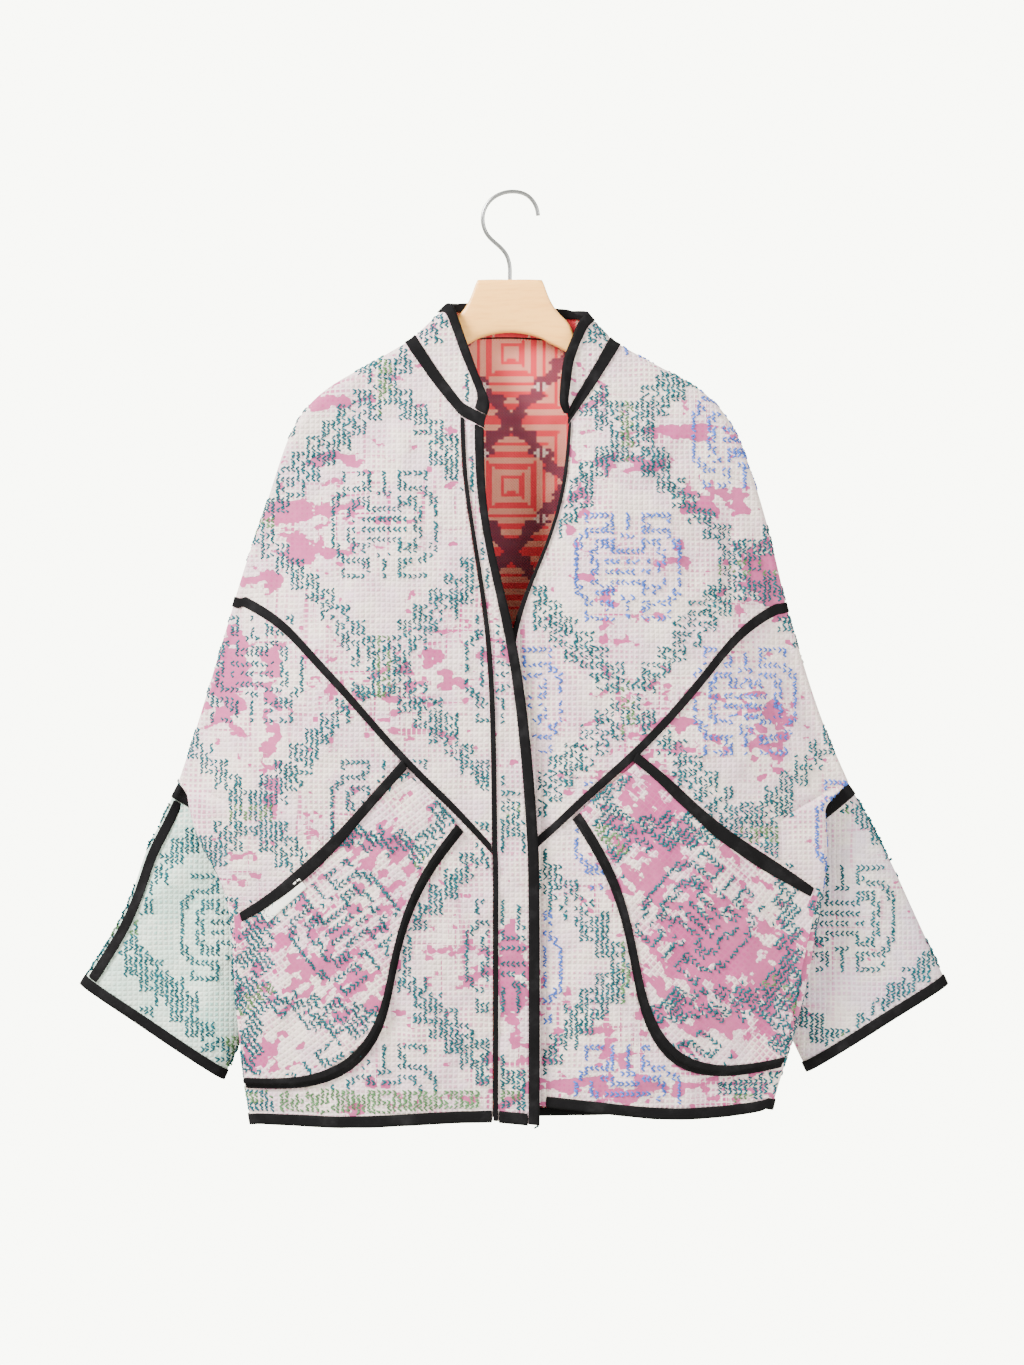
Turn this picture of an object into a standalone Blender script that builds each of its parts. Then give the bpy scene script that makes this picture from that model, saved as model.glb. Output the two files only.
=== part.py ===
"""Open quilted jacket, bound in black tape, hanging on a wooden hanger.

Sizes are in millimetres and are turned to metres where a mesh is made. The origin is the inside top
of the hanger's hook. X runs to the wearer's left, the front faces -Y and Z is up.
"""
import math

import bmesh
import bpy
import numpy as np
from mathutils import Vector

MM = 0.001

# Cloth and tape
WALL = 2.6
POCKET_WALL = 2.0
SLEEVE_WALL = 2.4
SEAM_GAP = 0.22
SAME_POINT = 0.02
COLLAR_GAP = 0.6
COLLAR_BACK_GAP = 1.5
COLLAR_BACK = 6.0
TAPE_LIFT = 0.4
HEM_LIFT = 0.65
COLLAR_LIFT = 0.95
TAPE_THICK = 0.9
TAPE_HALF = 4.6
TAPE_GAP = 0.6
EDGE_TAPE = 8.5
PUCKER = 0.45
POCKET_LIFT = 1.1

# Folded rims: radius over the hanger and lower down, and how far in the sheet reaches its full depth
RIM_TOP = 10.1
RIM_LOW = 7.0
RIM_ANGLES = (-60.0, -30.0, 0.0, 30.0, 60.0)
RIM_BACK_ANGLES = (-62.5, -78.0)
RIM_CHANGE = (265.0, 70.0)
RIM_BLEND = 30.0
RAMP = 110.0
FOLD_RAMP = 45.0

# Depth of the front and the back from the middle plane: z, depth
FRONT_DEPTH = ((-100, 12), (-150, 14), (-200, 20), (-300, 28), (-450, 33), (-620, 33), (-760, 30),
               (-840, 27))
BACK_DEPTH = ((-100, 12.5), (-150, 14), (-200, 18), (-300, 23), (-450, 27), (-620, 27), (-840, 24))

# The sleeve lies behind the body outside this line, which runs down from the shoulder: z, x, shift
TROUGH = ((-190, 196, 0), (-290, 208, 4), (-370, 224, 8), (-455, 250, 11), (-500, 262, 13),
          (-535, 280, 15), (-556, 292, 9), (-580, 330, 0), (-840, 330, 0))
TROUGH_WIDTH = 30.0
FOLD_FORWARD = 6.0
FORWARD_FROM = (430.0, 120.0)

# Under the hanging sleeve the back of the body lies forward: depth there and how fast it gets there
RECESS_DEPTH = 1.0
RECESS_RAMP = 34.0
RECESS_ABOVE = -0.6
RECESS_EASE = 0.55
RECESS_EASE_FROM = (700.0, 120.0)
TIP_DEPTH = 13.0
TIP_REACH = 55.0

# Lower sleeve tube: its middle plane, half depth, waves, air to the body and least inner distances
TUBE_MIDDLE = 14.0
TUBE_RADIUS = 9.5
TUBE_SQUARE = 6
TUBE_WAVES = (1.6, 9.0, 5.0)
TUBE_OPEN = 8.0
TUBE_SIDE_OPEN = 4.0
TUBE_TOP_OPEN = 6.5
TUBE_FOLD_AIR = 3.0
TUBE_SIDES = (0.05, 0.95)
EDGE_LOOKS = (2.0, 6.0, 10.0)
EDGE_AIR = 5.0
TUBE_RINGS = 8
TUBE_SHARES = (0.0, 0.02, 0.08, 0.2, 0.35, 0.5, 0.65, 0.8, 0.92, 0.98, 1.0)

# Waves of the puckers between the rows of stitching, and how a soft fold fades and rounds
PUCKER_WAVES = (0.151, 0.043, 0.167, 0.037)
FOLD_FADE = 0.35
FOLD_ROUND = 1.6
SLOPE_STEP = 0.6

# Soft folds in both sheets: x, z at the two ends, width, depth (out is positive)
FRONT_FOLDS = (
    (-190, -215, -120, -420, 46, -3.2),
    (-205, -260, -190, -470, 44, 3.4),
    (-150, -190, -80, -330, 50, 2.2),
    (-232, -420, -215, -640, 48, -3.6),
    (-70, -620, -78, -835, 60, 2.6),
    (-165, -690, -150, -835, 66, -2.4),
    (186, -220, 150, -430, 46, -3.0),
    (205, -290, 214, -480, 42, 3.2),
    (120, -190, 74, -350, 50, 2.0),
    (236, -450, 222, -650, 46, -3.8),
    (62, -640, 60, -820, 56, 2.4),
    (176, -680, 168, -825, 66, -2.6),
)
BACK_FOLDS = (
    (-165, -210, -95, -440, 50, -3.0),
    (160, -205, 100, -430, 48, -3.2),
    (-20, -190, -30, -520, 70, 2.6),
    (60, -300, 48, -560, 60, -2.4),
    (-92, -640, -84, -835, 60, -3.0),
    (16, -640, 10, -835, 66, 2.6),
    (104, -650, 96, -825, 58, -2.8),
)

# Front view of each half, as x, z
RIGHT = {
    "sign": -1,
    "sleeve_air": 5.5,
    "shoulder": ((-89, -130), (-141, -160), (-167, -173), (-186, -185), (-195, -203), (-206, -235),
                 (-216, -267), (-231, -310), (-242, -338), (-249, -366)),
    "sleeve": ((-249, -366), (-263, -411), (-276, -455), (-294, -512), (-300, -529)),
    "fold": ((-290, -540), (-290.5, -556), (-280, -584), (-265, -602), (-258, -622), (-251, -648),
             (-248, -715), (-243.5, -759), (-240, -790), (-233, -834)),
    "neck": ((-84, -138.7), (-64, -168.4), (-43.5, -194.6)),
    "band": ((-225, -363), (-175, -417), (-134, -461), (-95, -508), (-65, -534), (-40, -561)),
    "front_top": ((-43, -195), (-46.8, -219), (-44, -244), (-38.7, -282), (-30.4, -329), (-22, -387),
                  (-19.2, -417), (-16.5, -494), (-15.5, -588)),
    "front_low": ((-15.5, -588), (-14.6, -617), (-14.9, -828)),
    "hem": ((-233, -834), (-146, -835), (-65, -830.5), (-14.9, -829)),
    "pocket_top": ((-99.6, -513), (-70, -539.5), (-44, -568)),
    "pocket_open": ((-99.6, -513), (-144, -563), (-162, -582), (-202, -618), (-215, -629), (-246, -648)),
    "pocket_curve": ((-44, -568), (-67.5, -595), (-86.4, -630), (-97.7, -663), (-104.4, -697),
                     (-111.3, -739), (-120.5, -764), (-146, -787), (-180, -798), (-236, -797)),
    "slit": ((-290, -540), (-235, -573), (-176, -608)),
    "tube_outer": ((-302.5, -535), (-316.4, -567), (-328, -586), (-348.6, -647), (-388, -711)),
    "tube_inner": ((-176, -611), (-259, -797)),
    "back_turn": (-150, -835),
}
LEFT = {
    "sign": 1,
    "sleeve_air": 4.3,
    "shoulder": ((94.5, -132), (136.5, -155), (173, -173), (192, -188), (204, -208), (215.6, -241),
                 (226.5, -274), (235.7, -306), (243, -339), (250.5, -371)),
    "sleeve": ((250.5, -371), (259.6, -401), (270.8, -438), (283.6, -477), (298, -510), (306.5, -529)),
    "fold": ((284, -549), (283, -566), (287, -592), (284, -618), (281, -628), (272, -686),
             (261.5, -734), (249, -778), (243.5, -790), (236, -821)),
    "neck": ((89.5, -141), (73.6, -168.4), (53, -201.5)),
    "band": ((222.8, -369), (217, -383), (199, -399), (170, -438), (117.5, -497), (72.5, -536),
             (28.4, -579)),
    "front_top": ((52, -203), (51.3, -237), (47.8, -273), (37, -309), (17.6, -348), (2.3, -386),
                  (-5, -440), (-5, -606)),
    "front_low": ((-5, -606), (-5, -816)),
    "hem": ((236, -821), (217, -824), (148, -828), (79.3, -821), (27.5, -816), (-5, -816)),
    "pocket_top": ((118, -505.5), (89.5, -530), (59.5, -557.5)),
    "pocket_open": ((118, -505.5), (150.6, -532), (171, -553), (207.5, -580.5), (240, -601), (276, -626)),
    "pocket_curve": ((59.5, -557.5), (76.4, -580.5), (90, -608), (99, -633), (109, -670), (113.7, -709),
                     (123, -748), (136.6, -771), (155, -784.6), (185, -789), (221.6, -786), (244, -778)),
    "slit": ((284, -549), (238, -588), (190, -627)),
    "tube_outer": ((308, -533), (321.6, -556), (346.2, -603.5), (365, -645), (395.6, -711)),
    "tube_inner": ((190, -628), (269, -790)),
    "back_turn": (150, -829),
}
BACK_CENTRE = (0, -600)
BACK_NECK = ((-84, -138.7), (-50, -131), (0, -128), (50, -132), (89.5, -141))
BACK_BAND = {
    "right": ((-225, -366), (-175, -417), (-134, -461)),
    "left": ((226, -370), (182, -425), (137, -470)),
}
PLACKET_EDGE = ((-24, -205), (-26, -237), (-21, -293), (-11, -344), (2, -387), (12, -446), (18, -504),
                (23, -563), (25, -635), (25.2, -833))
PLACKET_SHARE = 0.36
LAP = 6.0
LAP_REACH = (34.0, 84.0)

# Tapes on the pockets: end column, drop to the cloth; and how far the neck's goes past the edge
POCKET_TAPE = 5.0
OPENING_DROP = (0.7, 1.2)
CURVE_STEPS = ((1.6, 0.3), (5.0, 0.25))
NECK_PAST = 1.9

# Rows of the collar: distance up from its base, down from its top, and their limits as shares
COLLAR_ROWS = (5.0, 8.0)
COLLAR_SHARES = (0.3, 0.62)
COLLAR_STEPS = 20

# Stand collar, from the right front corner round the back to the left: base x, z and top x, y, z
COLLAR = (
    (-25, -206, -18.5, -19, -189),
    (-43.5, -194, -29.7, -17, -163),
    (-64, -168, -39.3, -14, -137),
    (-79, -147, -48, -12, -112),
    (-84, -139, -53, -9.5, -100.5),
    (-89, -130, -59, 0, -101.5),
    (-84, -138, -52, 10, -98),
    (-50, -131, -36, 12, -98),
    (0, -128, 2, 12.5, -99.5),
    (50, -132, 44, 12, -103),
    (88, -140, 60, 10.8, -104.5),
    (94.5, -132, 70.5, 0, -107.5),
    (89, -141, 64, -9.5, -115),
    (80, -157, 57.5, -12.5, -130),
    (73.6, -168, 51, -14.5, -146),
    (62, -188, 48.2, -17.5, -174),
    (53, -201, 49.0, -19, -189),
)

# Blank tag on the right pocket: x, z of its four corners
LABEL = ((-222, -643.5), (-186, -612.5), (-179.5, -621), (-215.5, -653.5))
LABEL_THICK = 0.7
LABEL_AIR = 0.5
LABEL_STEPS = 4

# Hanger: x, top z and bottom z of the wooden body, and the wire of the hook as x, z
ARM_THICK = 12.4
ARM_END = 176.0
ARM_AIR = 0.8
BLOCK = ((0, -76, -123.5), (18, -76, -126), (29.5, -76, -130), (35.5, -94, -134), (42, -104, -137),
         (48, -110.5, -140), (58, -118.6, -146))
ARM_DEPTH = (29.0, 21.0)
ARM_START = 72.0
ARM_STEP = 18.6
ARM_LOOK = (62.0, 8.0)
END_SHRINK = 0.72
RING_TURN = 30
RING_SQUARE = 3
HOOK_WIRE = 2.0
HOOK = ((25.5, -18.6), (24.5, -12), (20.5, -4.5), (13.5, 1.2), (3, 3.2), (-8, 1.4), (-17.5, -4.6),
        (-23, -13), (-24.6, -22.5), (-22, -33), (-16.5, -40.2), (-9, -46.5), (-2.8, -54), (0, -64),
        (0, -76), (0, -100))
BORE_RADIUS = 2.4
BORE_DEPTH = 27.0

COLOURS = {
    "cloth": ((0.80, 0.70, 0.74), 0.85, 0.0),
    "mint": ((0.70, 0.79, 0.72), 0.85, 0.0),
    "pocket": ((0.72, 0.38, 0.52), 0.85, 0.0),
    "tape": ((0.012, 0.012, 0.011), 0.8, 0.0),
    "label": ((0.86, 0.84, 0.78), 0.8, 0.0),
    "wood": ((0.85, 0.63, 0.40), 0.45, 0.0),
    "metal": ((0.62, 0.62, 0.60), 0.3, 1.0),
}


def smooth(share):
    share = min(max(share, 0.0), 1.0)
    return share * share * (3.0 - 2.0 * share)


def read(table, z, column=1):
    """Value of a column at a height, from a table that runs downwards."""
    rows = [(row[0], row[column]) for row in table]
    if z >= rows[0][0]:
        return rows[0][1]
    for (z0, value0), (z1, value1) in zip(rows, rows[1:]):
        if z >= z1:
            return value0 + (value1 - value0) * (z0 - z) / (z0 - z1)
    return rows[-1][1]


def curve(points, steps=8):
    """Points of a smooth curve through the given ones."""
    points = [Vector(point) for point in points]
    ends = [points[0] * 2 - points[1]] + points + [points[-1] * 2 - points[-2]]
    made = []
    for before, start, end, after in zip(ends, ends[1:], ends[2:], ends[3:]):
        for step in range(steps):
            t = step / steps
            made.append(0.5 * (2 * start + (end - before) * t
                               + (2 * before - 5 * start + 4 * end - after) * t * t
                               + (3 * start - before - 3 * end + after) * t ** 3))
    return made + [points[-1]]


def spread(points, count, first=None, last=None, steps=8):
    """Evenly spaced points of a curve, with a first and a last step of their own length."""
    line = curve(points, steps) if len(points) > 2 else [Vector(point) for point in points]
    reach = [0.0]
    for start, end in zip(line, line[1:]):
        reach.append(reach[-1] + (end - start).length)
    total = reach[-1]
    begin = first or 0.0
    finish = total - (last or 0.0)
    inner = count - (1 if first else 0) - (1 if last else 0)
    places = [begin + (finish - begin) * step / (inner - 1) for step in range(inner)]
    places = ([0.0] if first else []) + places + ([total] if last else [])
    return sample(line, reach, places)


def matched(points, others):
    """Points of a curve at the same shares of its length as others on theirs."""
    line = curve(points)
    reach = [0.0]
    for start, end in zip(line, line[1:]):
        reach.append(reach[-1] + (end - start).length)
    return sample(line, reach, [share * reach[-1] for share in shares(others)])


def sample(line, reach, places):
    """Points of a line at given distances along it."""
    made = []
    for place in places:
        for index in range(len(reach) - 1):
            if place <= reach[index + 1] or index == len(reach) - 2:
                share = (place - reach[index]) / max(reach[index + 1] - reach[index], 1e-9)
                made.append(line[index].lerp(line[index + 1], min(share, 1.0)))
                break
    return made


def edge_array():
    starts, ends = [], []
    for half in (RIGHT, LEFT):
        line = curve(half["shoulder"]) + curve(half["sleeve"]) + curve(half["fold"])
        starts += [point[:] for point in line[:-1]]
        ends += [point[:] for point in line[1:]]
    return np.array(starts), np.array(ends)


EDGE_START, EDGE_END = edge_array()
EDGE_RUN = EDGE_END - EDGE_START
EDGE_SQUARE = np.maximum((EDGE_RUN ** 2).sum(axis=1), 1e-9)


def edge_distance(x, z):
    """Distance in the front view to the folded edge of the shoulders, sleeves and sides."""
    away = np.array((x, z)) - EDGE_START
    share = np.clip((away * EDGE_RUN).sum(axis=1) / EDGE_SQUARE, 0.0, 1.0)
    gap = away - EDGE_RUN * share[:, None]
    return float(np.sqrt((gap ** 2).sum(axis=1).min()))


def rim(z):
    return RIM_LOW + (RIM_TOP - RIM_LOW) * smooth((z + RIM_CHANGE[0]) / RIM_CHANGE[1])


def middle(x, z):
    """How far back the middle of the cloth's two sheets lies."""
    outside = (abs(x) - read(TROUGH, z)) / TROUGH_WIDTH + 0.5
    forward = FOLD_FORWARD * smooth((-z - FORWARD_FROM[0]) / FORWARD_FROM[1])
    return read(TROUGH, z, 2) * smooth(outside) - forward


def fold_height(folds, x, z):
    """Height of the soft folds, each a rounded ridge or trough along a line that fades at its ends."""
    height = 0.0
    for x0, z0, x1, z1, width, depth in folds:
        along = Vector((x1 - x0, z1 - z0))
        share = ((x - x0) * along.x + (z - z0) * along.y) / along.length_squared
        across = abs((x - x0) * along.y - (z - z0) * along.x) / along.length / (width / 2)
        fade = smooth(1.0 - abs(share - 0.5) * 2.0 + FOLD_FADE)
        height += depth * fade * math.exp(-across * across * FOLD_ROUND)
    return height


def layer(x, z, depth, folds, facing):
    """Height of a sheet: facing is -1 for the front and 1 for the back."""
    radius = rim(z)
    inside = edge_distance(x, z)
    shift = middle(x, z)
    if inside < radius:
        return shift + facing * math.sqrt(max(radius ** 2 - (radius - inside) ** 2, 0.0))
    share = smooth((inside - radius) / RAMP)
    full = facing * (depth + fold_height(folds, x, z) * smooth((inside - radius) / FOLD_RAMP))
    return (shift + facing * radius) * (1.0 - share) + full * share


def front_y(x, z):
    return layer(x, z, read(FRONT_DEPTH, z), FRONT_FOLDS, -1)


def left_front_y(x, z):
    """The left front passes under the placket."""
    reach = (LAP_REACH[1] - x) / (LAP_REACH[1] - LAP_REACH[0])
    return front_y(x, z) + LAP * smooth(reach)


def tip_of(x):
    return Vector(RIGHT["slit"][-1]) if x < 0 else Vector(LEFT["slit"][-1])


def back_y(x, z):
    """The back, which dips where the slit for the sleeve ends."""
    dip = smooth(1.0 - (Vector((x, z)) - tip_of(x)).length / TIP_REACH)
    return layer(x, z, read(BACK_DEPTH, z), BACK_FOLDS, 1) * (1.0 - dip) + TIP_DEPTH * dip


def recess_y(x, z):
    """The back of the body below the slit, which lies forward under the hanging sleeve."""
    half = RIGHT if x < 0 else LEFT
    tip = tip_of(x)
    turn = Vector(half["back_turn"])
    share = min(max((tip.y - z) / (tip.y - turn.y), RECESS_ABOVE), 1.0)
    inner = abs(tip.x + (turn.x - tip.x) * share)
    fade = 1.0 - RECESS_EASE * smooth((-z - RECESS_EASE_FROM[0]) / RECESS_EASE_FROM[1])
    sunk = smooth((abs(x) - inner) / RECESS_RAMP) * fade
    radius = rim(z)
    inside = edge_distance(x, z)
    if inside < radius:
        return back_y(x, z)
    blend = smooth((inside - radius) / RIM_BLEND)
    low = (middle(x, z) + radius) * (1.0 - blend) + RECESS_DEPTH * blend
    return back_y(x, z) * (1.0 - sunk) + low * sunk


def on_sheet(height, x, z, facing):
    """Point of a sheet with its outward normal."""
    step = SLOPE_STEP
    slope_x = (height(x + step, z) - height(x - step, z)) / (2 * step)
    slope_z = (height(x, z + step) - height(x, z - step)) / (2 * step)
    normal = Vector((slope_x, -1.0, slope_z)).normalized() * -facing
    return Vector((x, height(x, z), z)), normal


def inward(points, sign):
    """Unit normals of an outer edge in the front view, towards the body."""
    made = []
    for index, point in enumerate(points):
        ahead = points[min(index + 1, len(points) - 1)]
        behind = points[max(index - 1, 0)]
        run = (ahead - behind).normalized()
        normal = Vector((-run.y, run.x))
        made.append(normal if normal.x * sign < 0 else -normal)
    return made


def on_rim(point, normal, angle):
    """Point round the folded edge: 90 degrees is its front line, 0 its outermost line."""
    radius = rim(point.y)
    turn = math.radians(angle)
    centre = point + normal * radius
    place = centre - normal * radius * math.cos(turn)
    shift = middle(centre.x, centre.y)
    out = -normal * math.cos(turn)
    return (Vector((place.x, shift - radius * math.sin(turn), place.y)),
            Vector((out.x, -math.sin(turn), out.y)))


def shares(points):
    reach = [0.0]
    for start, end in zip(points, points[1:]):
        reach.append(reach[-1] + (end - start).length)
    return [value / reach[-1] for value in reach]


def patch(left, right, top, bottom):
    """Net of front-view points between four sides; left and right run down, top and bottom run across."""
    across_top, across_low = shares(top), shares(bottom)
    down_left, down_right = shares(left), shares(right)
    rows = []
    for i in range(len(left)):
        row = []
        for j in range(len(top)):
            v = (down_left[i] + down_right[i]) / 2
            u = across_top[j] * (1 - v) + across_low[j] * v
            v = down_left[i] * (1 - u) + down_right[i] * u
            sides = left[i] * (1 - u) + right[i] * u + top[j] * (1 - v) + bottom[j] * v
            corners = ((top[0] * (1 - u) + top[-1] * u) * (1 - v)
                       + (bottom[0] * (1 - u) + bottom[-1] * u) * v)
            row.append(sides - corners)
        rows.append(row)
    return rows


def lay(net, height, facing):
    return [[on_sheet(height, point.x, point.y, facing) for point in row] for row in net]


def pull(points, towards, distance):
    """Points moved a set distance towards others."""
    made = []
    for (place, normal), (goal, _) in zip(points, towards):
        step = goal - place
        made.append((place + step.normalized() * distance, normal))
    return made


def trim(grid, top=0.0, bottom=0.0, left=0.0, right=0.0):
    """Grid with its outer rows and columns drawn in, for the gaps at the seams."""
    if top:
        grid[0] = pull(grid[0], grid[1], top)
    if bottom:
        grid[-1] = pull(grid[-1], grid[-2], bottom)
    columns = [list(column) for column in zip(*grid)]
    if left:
        columns[0] = pull(columns[0], columns[1], left)
    if right:
        columns[-1] = pull(columns[-1], columns[-2], right)
    return [list(row) for row in zip(*columns)]


def pucker(place):
    """Shallow hollows between the rows of stitching."""
    a, b, c, d = PUCKER_WAVES
    wave = math.sin(place.x * a + place.z * b) * math.sin(place.z * c - place.x * d)
    return PUCKER * (0.5 + 0.5 * wave)


def thicken(grid, wall, margin=1, lift=0.0):
    """Pairs of outer and inner points; the outer ones sink a little away from the margins."""
    made = []
    for i, row in enumerate(grid):
        line = []
        for j, (place, normal) in enumerate(row):
            edge = min(i, len(grid) - 1 - i, j, len(row) - 1 - j) <= margin
            sink = 0.0 if edge else pucker(place)
            line.append((place + normal * (lift + (wall if lift else 0.0) - sink),
                         place + normal * (lift if lift else -wall)))
        made.append(line)
    return made


def material(kind):
    if kind in bpy.data.materials:
        return bpy.data.materials[kind]
    colour, roughness, metallic = COLOURS[kind]
    made = bpy.data.materials.new(kind)
    made.use_nodes = True
    shader = made.node_tree.nodes["Principled BSDF"]
    shader.inputs["Base Color"].default_value = (*colour, 1.0)
    shader.inputs["Roughness"].default_value = roughness
    shader.inputs["Metallic"].default_value = metallic
    made.diffuse_color = (*colour, 1.0)
    return made


def add_object(name, mesh, kind, collection):
    made = bpy.data.objects.new(name, mesh)
    collection.objects.link(made)
    own = material(kind).copy()
    own.name = name
    mesh.materials.append(own)
    return made


def neighbours(cell):
    """A cell of one millimetre and the ones round it."""
    steps = (-1, 0, 1)
    return [(cell[0] + i, cell[1] + j, cell[2] + k) for i in steps for j in steps for k in steps]


def wall(name, grids, kind, collection):
    """Closed solid from grids of outer and inner points, joined where their outer points meet."""
    index, outer, inner, triangles = {}, [], [], []
    for grid in grids:
        ids = []
        for row in grid:
            line = []
            for out, inn in row:
                cell = tuple(round(value) for value in out)
                near = [index[place] for place in neighbours(cell) if place in index]
                found = [k for group in near for k in group if (outer[k] - out).length < SAME_POINT]
                if not found:
                    found = [len(outer)]
                    index.setdefault(cell, []).append(len(outer))
                    outer.append(out)
                    inner.append(inn)
                line.append(found[0])
            ids.append(line)
        for upper, lower in zip(ids, ids[1:]):
            for j in range(len(upper) - 1):
                for face in ([upper[j], upper[j + 1], lower[j + 1]], [upper[j], lower[j + 1], lower[j]]):
                    if len(set(face)) == 3:
                        triangles.append(face)
    uses = {}
    for face in triangles:
        for a, b in zip(face, face[1:] + face[:1]):
            uses[(min(a, b), max(a, b))] = uses.get((min(a, b), max(a, b)), 0) + 1
    count = len(outer)
    faces = triangles + [[corner + count for corner in reversed(face)] for face in triangles]
    faces += [[b, a, a + count, b + count] for (a, b), used in uses.items() if used == 1]
    mesh = bpy.data.meshes.new(name)
    mesh.from_pydata([point * MM for point in outer + inner], [], faces)
    shape = bmesh.new()
    shape.from_mesh(mesh)
    bmesh.ops.recalc_face_normals(shape, faces=shape.faces)
    shape.to_mesh(mesh)
    shape.free()
    return add_object(name, mesh, kind, collection)


def tape(rows, lift=TAPE_LIFT, thick=TAPE_THICK):
    """Flat tape over rows of points, as pairs of outer and inner points."""
    top = lift + thick
    return [[(place + normal * top, place + normal * lift) for place, normal in row] for row in rows]


def hem_tape(margin, edge, thickness, lift=HEM_LIFT):
    """Tape folded round a cut edge of a wall that has its plain side inside."""
    lines = [[], [], [], []]
    far = lift + TAPE_THICK
    for (place, normal), (end, end_normal) in zip(margin, edge):
        out = (end - place).normalized()
        under = place - normal * thickness
        base = end - end_normal * thickness
        lines[0].append((place + normal * far, place + normal * lift))
        lines[1].append((end + (end_normal + out) * far, end + (end_normal + out) * lift))
        lines[2].append((base + (out - end_normal) * far, base + (out - end_normal) * lift))
        lines[3].append((under - normal * far, under - normal * lift))
    return lines


def column(grid, index):
    return [row[index] for row in grid]


def shorten(rows, start=0.0, end=0.0):
    """Rows drawn in along their length, so that a tape stops short of the one that crosses it."""
    made = []
    for row in rows:
        row = list(row)
        if start:
            row[0] = pull(row[:1], row[1:2], start)[0]
        if end:
            row[-1] = pull(row[-1:], row[-2:-1], end)[0]
        made.append(row)
    return made


def half_lines(half):
    """Sampled outer edges of one half, with their inward normals and the line where the rim ends."""
    lines = {}
    counts = {
        "shoulder": (10, 6.0, TAPE_HALF),
        "sleeve": (7, TAPE_HALF, TAPE_HALF),
        "fold": (11, 7.0, EDGE_TAPE),
    }
    for name, (count, first, last) in counts.items():
        points = spread(half[name], count, first, last)
        normals = inward(points, half["sign"])
        lines[name] = points
        lines[name + "_normal"] = normals
        lines[name + "_line"] = [p + n * rim(p.y) for p, n in zip(points, normals)]
    return lines


def with_rim(points, normals, grid, angles=RIM_ANGLES):
    """Grid with the columns of the folded edge put before its first one."""
    made = []
    for point, normal, row in zip(points, normals, grid):
        made.append([on_rim(point, normal, angle) for angle in angles] + row)
    return made


def band_side(half, lines, end, count):
    """Lower side of the upper front: over the sleeve, then down the diagonal to the front edge."""
    start = lines["shoulder_line"][-1]
    points = [start] + [Vector(point) for point in half["band"]] + [Vector(end)]
    return spread([point[:] for point in points], count, 4.0, TAPE_HALF)


def front_panels(half, lines, height):
    """Upper and lower front of one half."""
    across = 10
    neck = [lines["shoulder_line"][0]] + [Vector(point) for point in half["neck"][1:]]
    top = spread([point[:] for point in neck], across, 4.0, TAPE_HALF)
    low = band_side(half, lines, half["front_top"][-1], across)
    edge = spread((top[-1][:],) + half["front_top"][1:], 10, 6.0, TAPE_HALF)
    upper = patch(lines["shoulder_line"], edge, top, low)
    upper = with_rim(lines["shoulder"], lines["shoulder_normal"], lay(upper, height, -1))
    upper = trim(upper, bottom=SEAM_GAP, right=SEAM_GAP)
    outer = lines["sleeve_line"] + lines["fold_line"]
    points = lines["sleeve"] + lines["fold"]
    normals = lines["sleeve_normal"] + lines["fold_normal"]
    hem = [lines["fold_line"][-1]] + [Vector(point) for point in half["hem"][1:]]
    bottom = spread([point[:] for point in hem], across, 4.0, TAPE_HALF)
    front = spread(half["front_low"], len(outer), TAPE_HALF, EDGE_TAPE)
    front[-1] = bottom[-1]
    lower = patch(outer, front, low, bottom)
    lower = with_rim(points, normals, lay(lower, height, -1))
    lower = trim(lower, top=SEAM_GAP, right=SEAM_GAP)
    return upper, lower, edge + front[1:]


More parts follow.
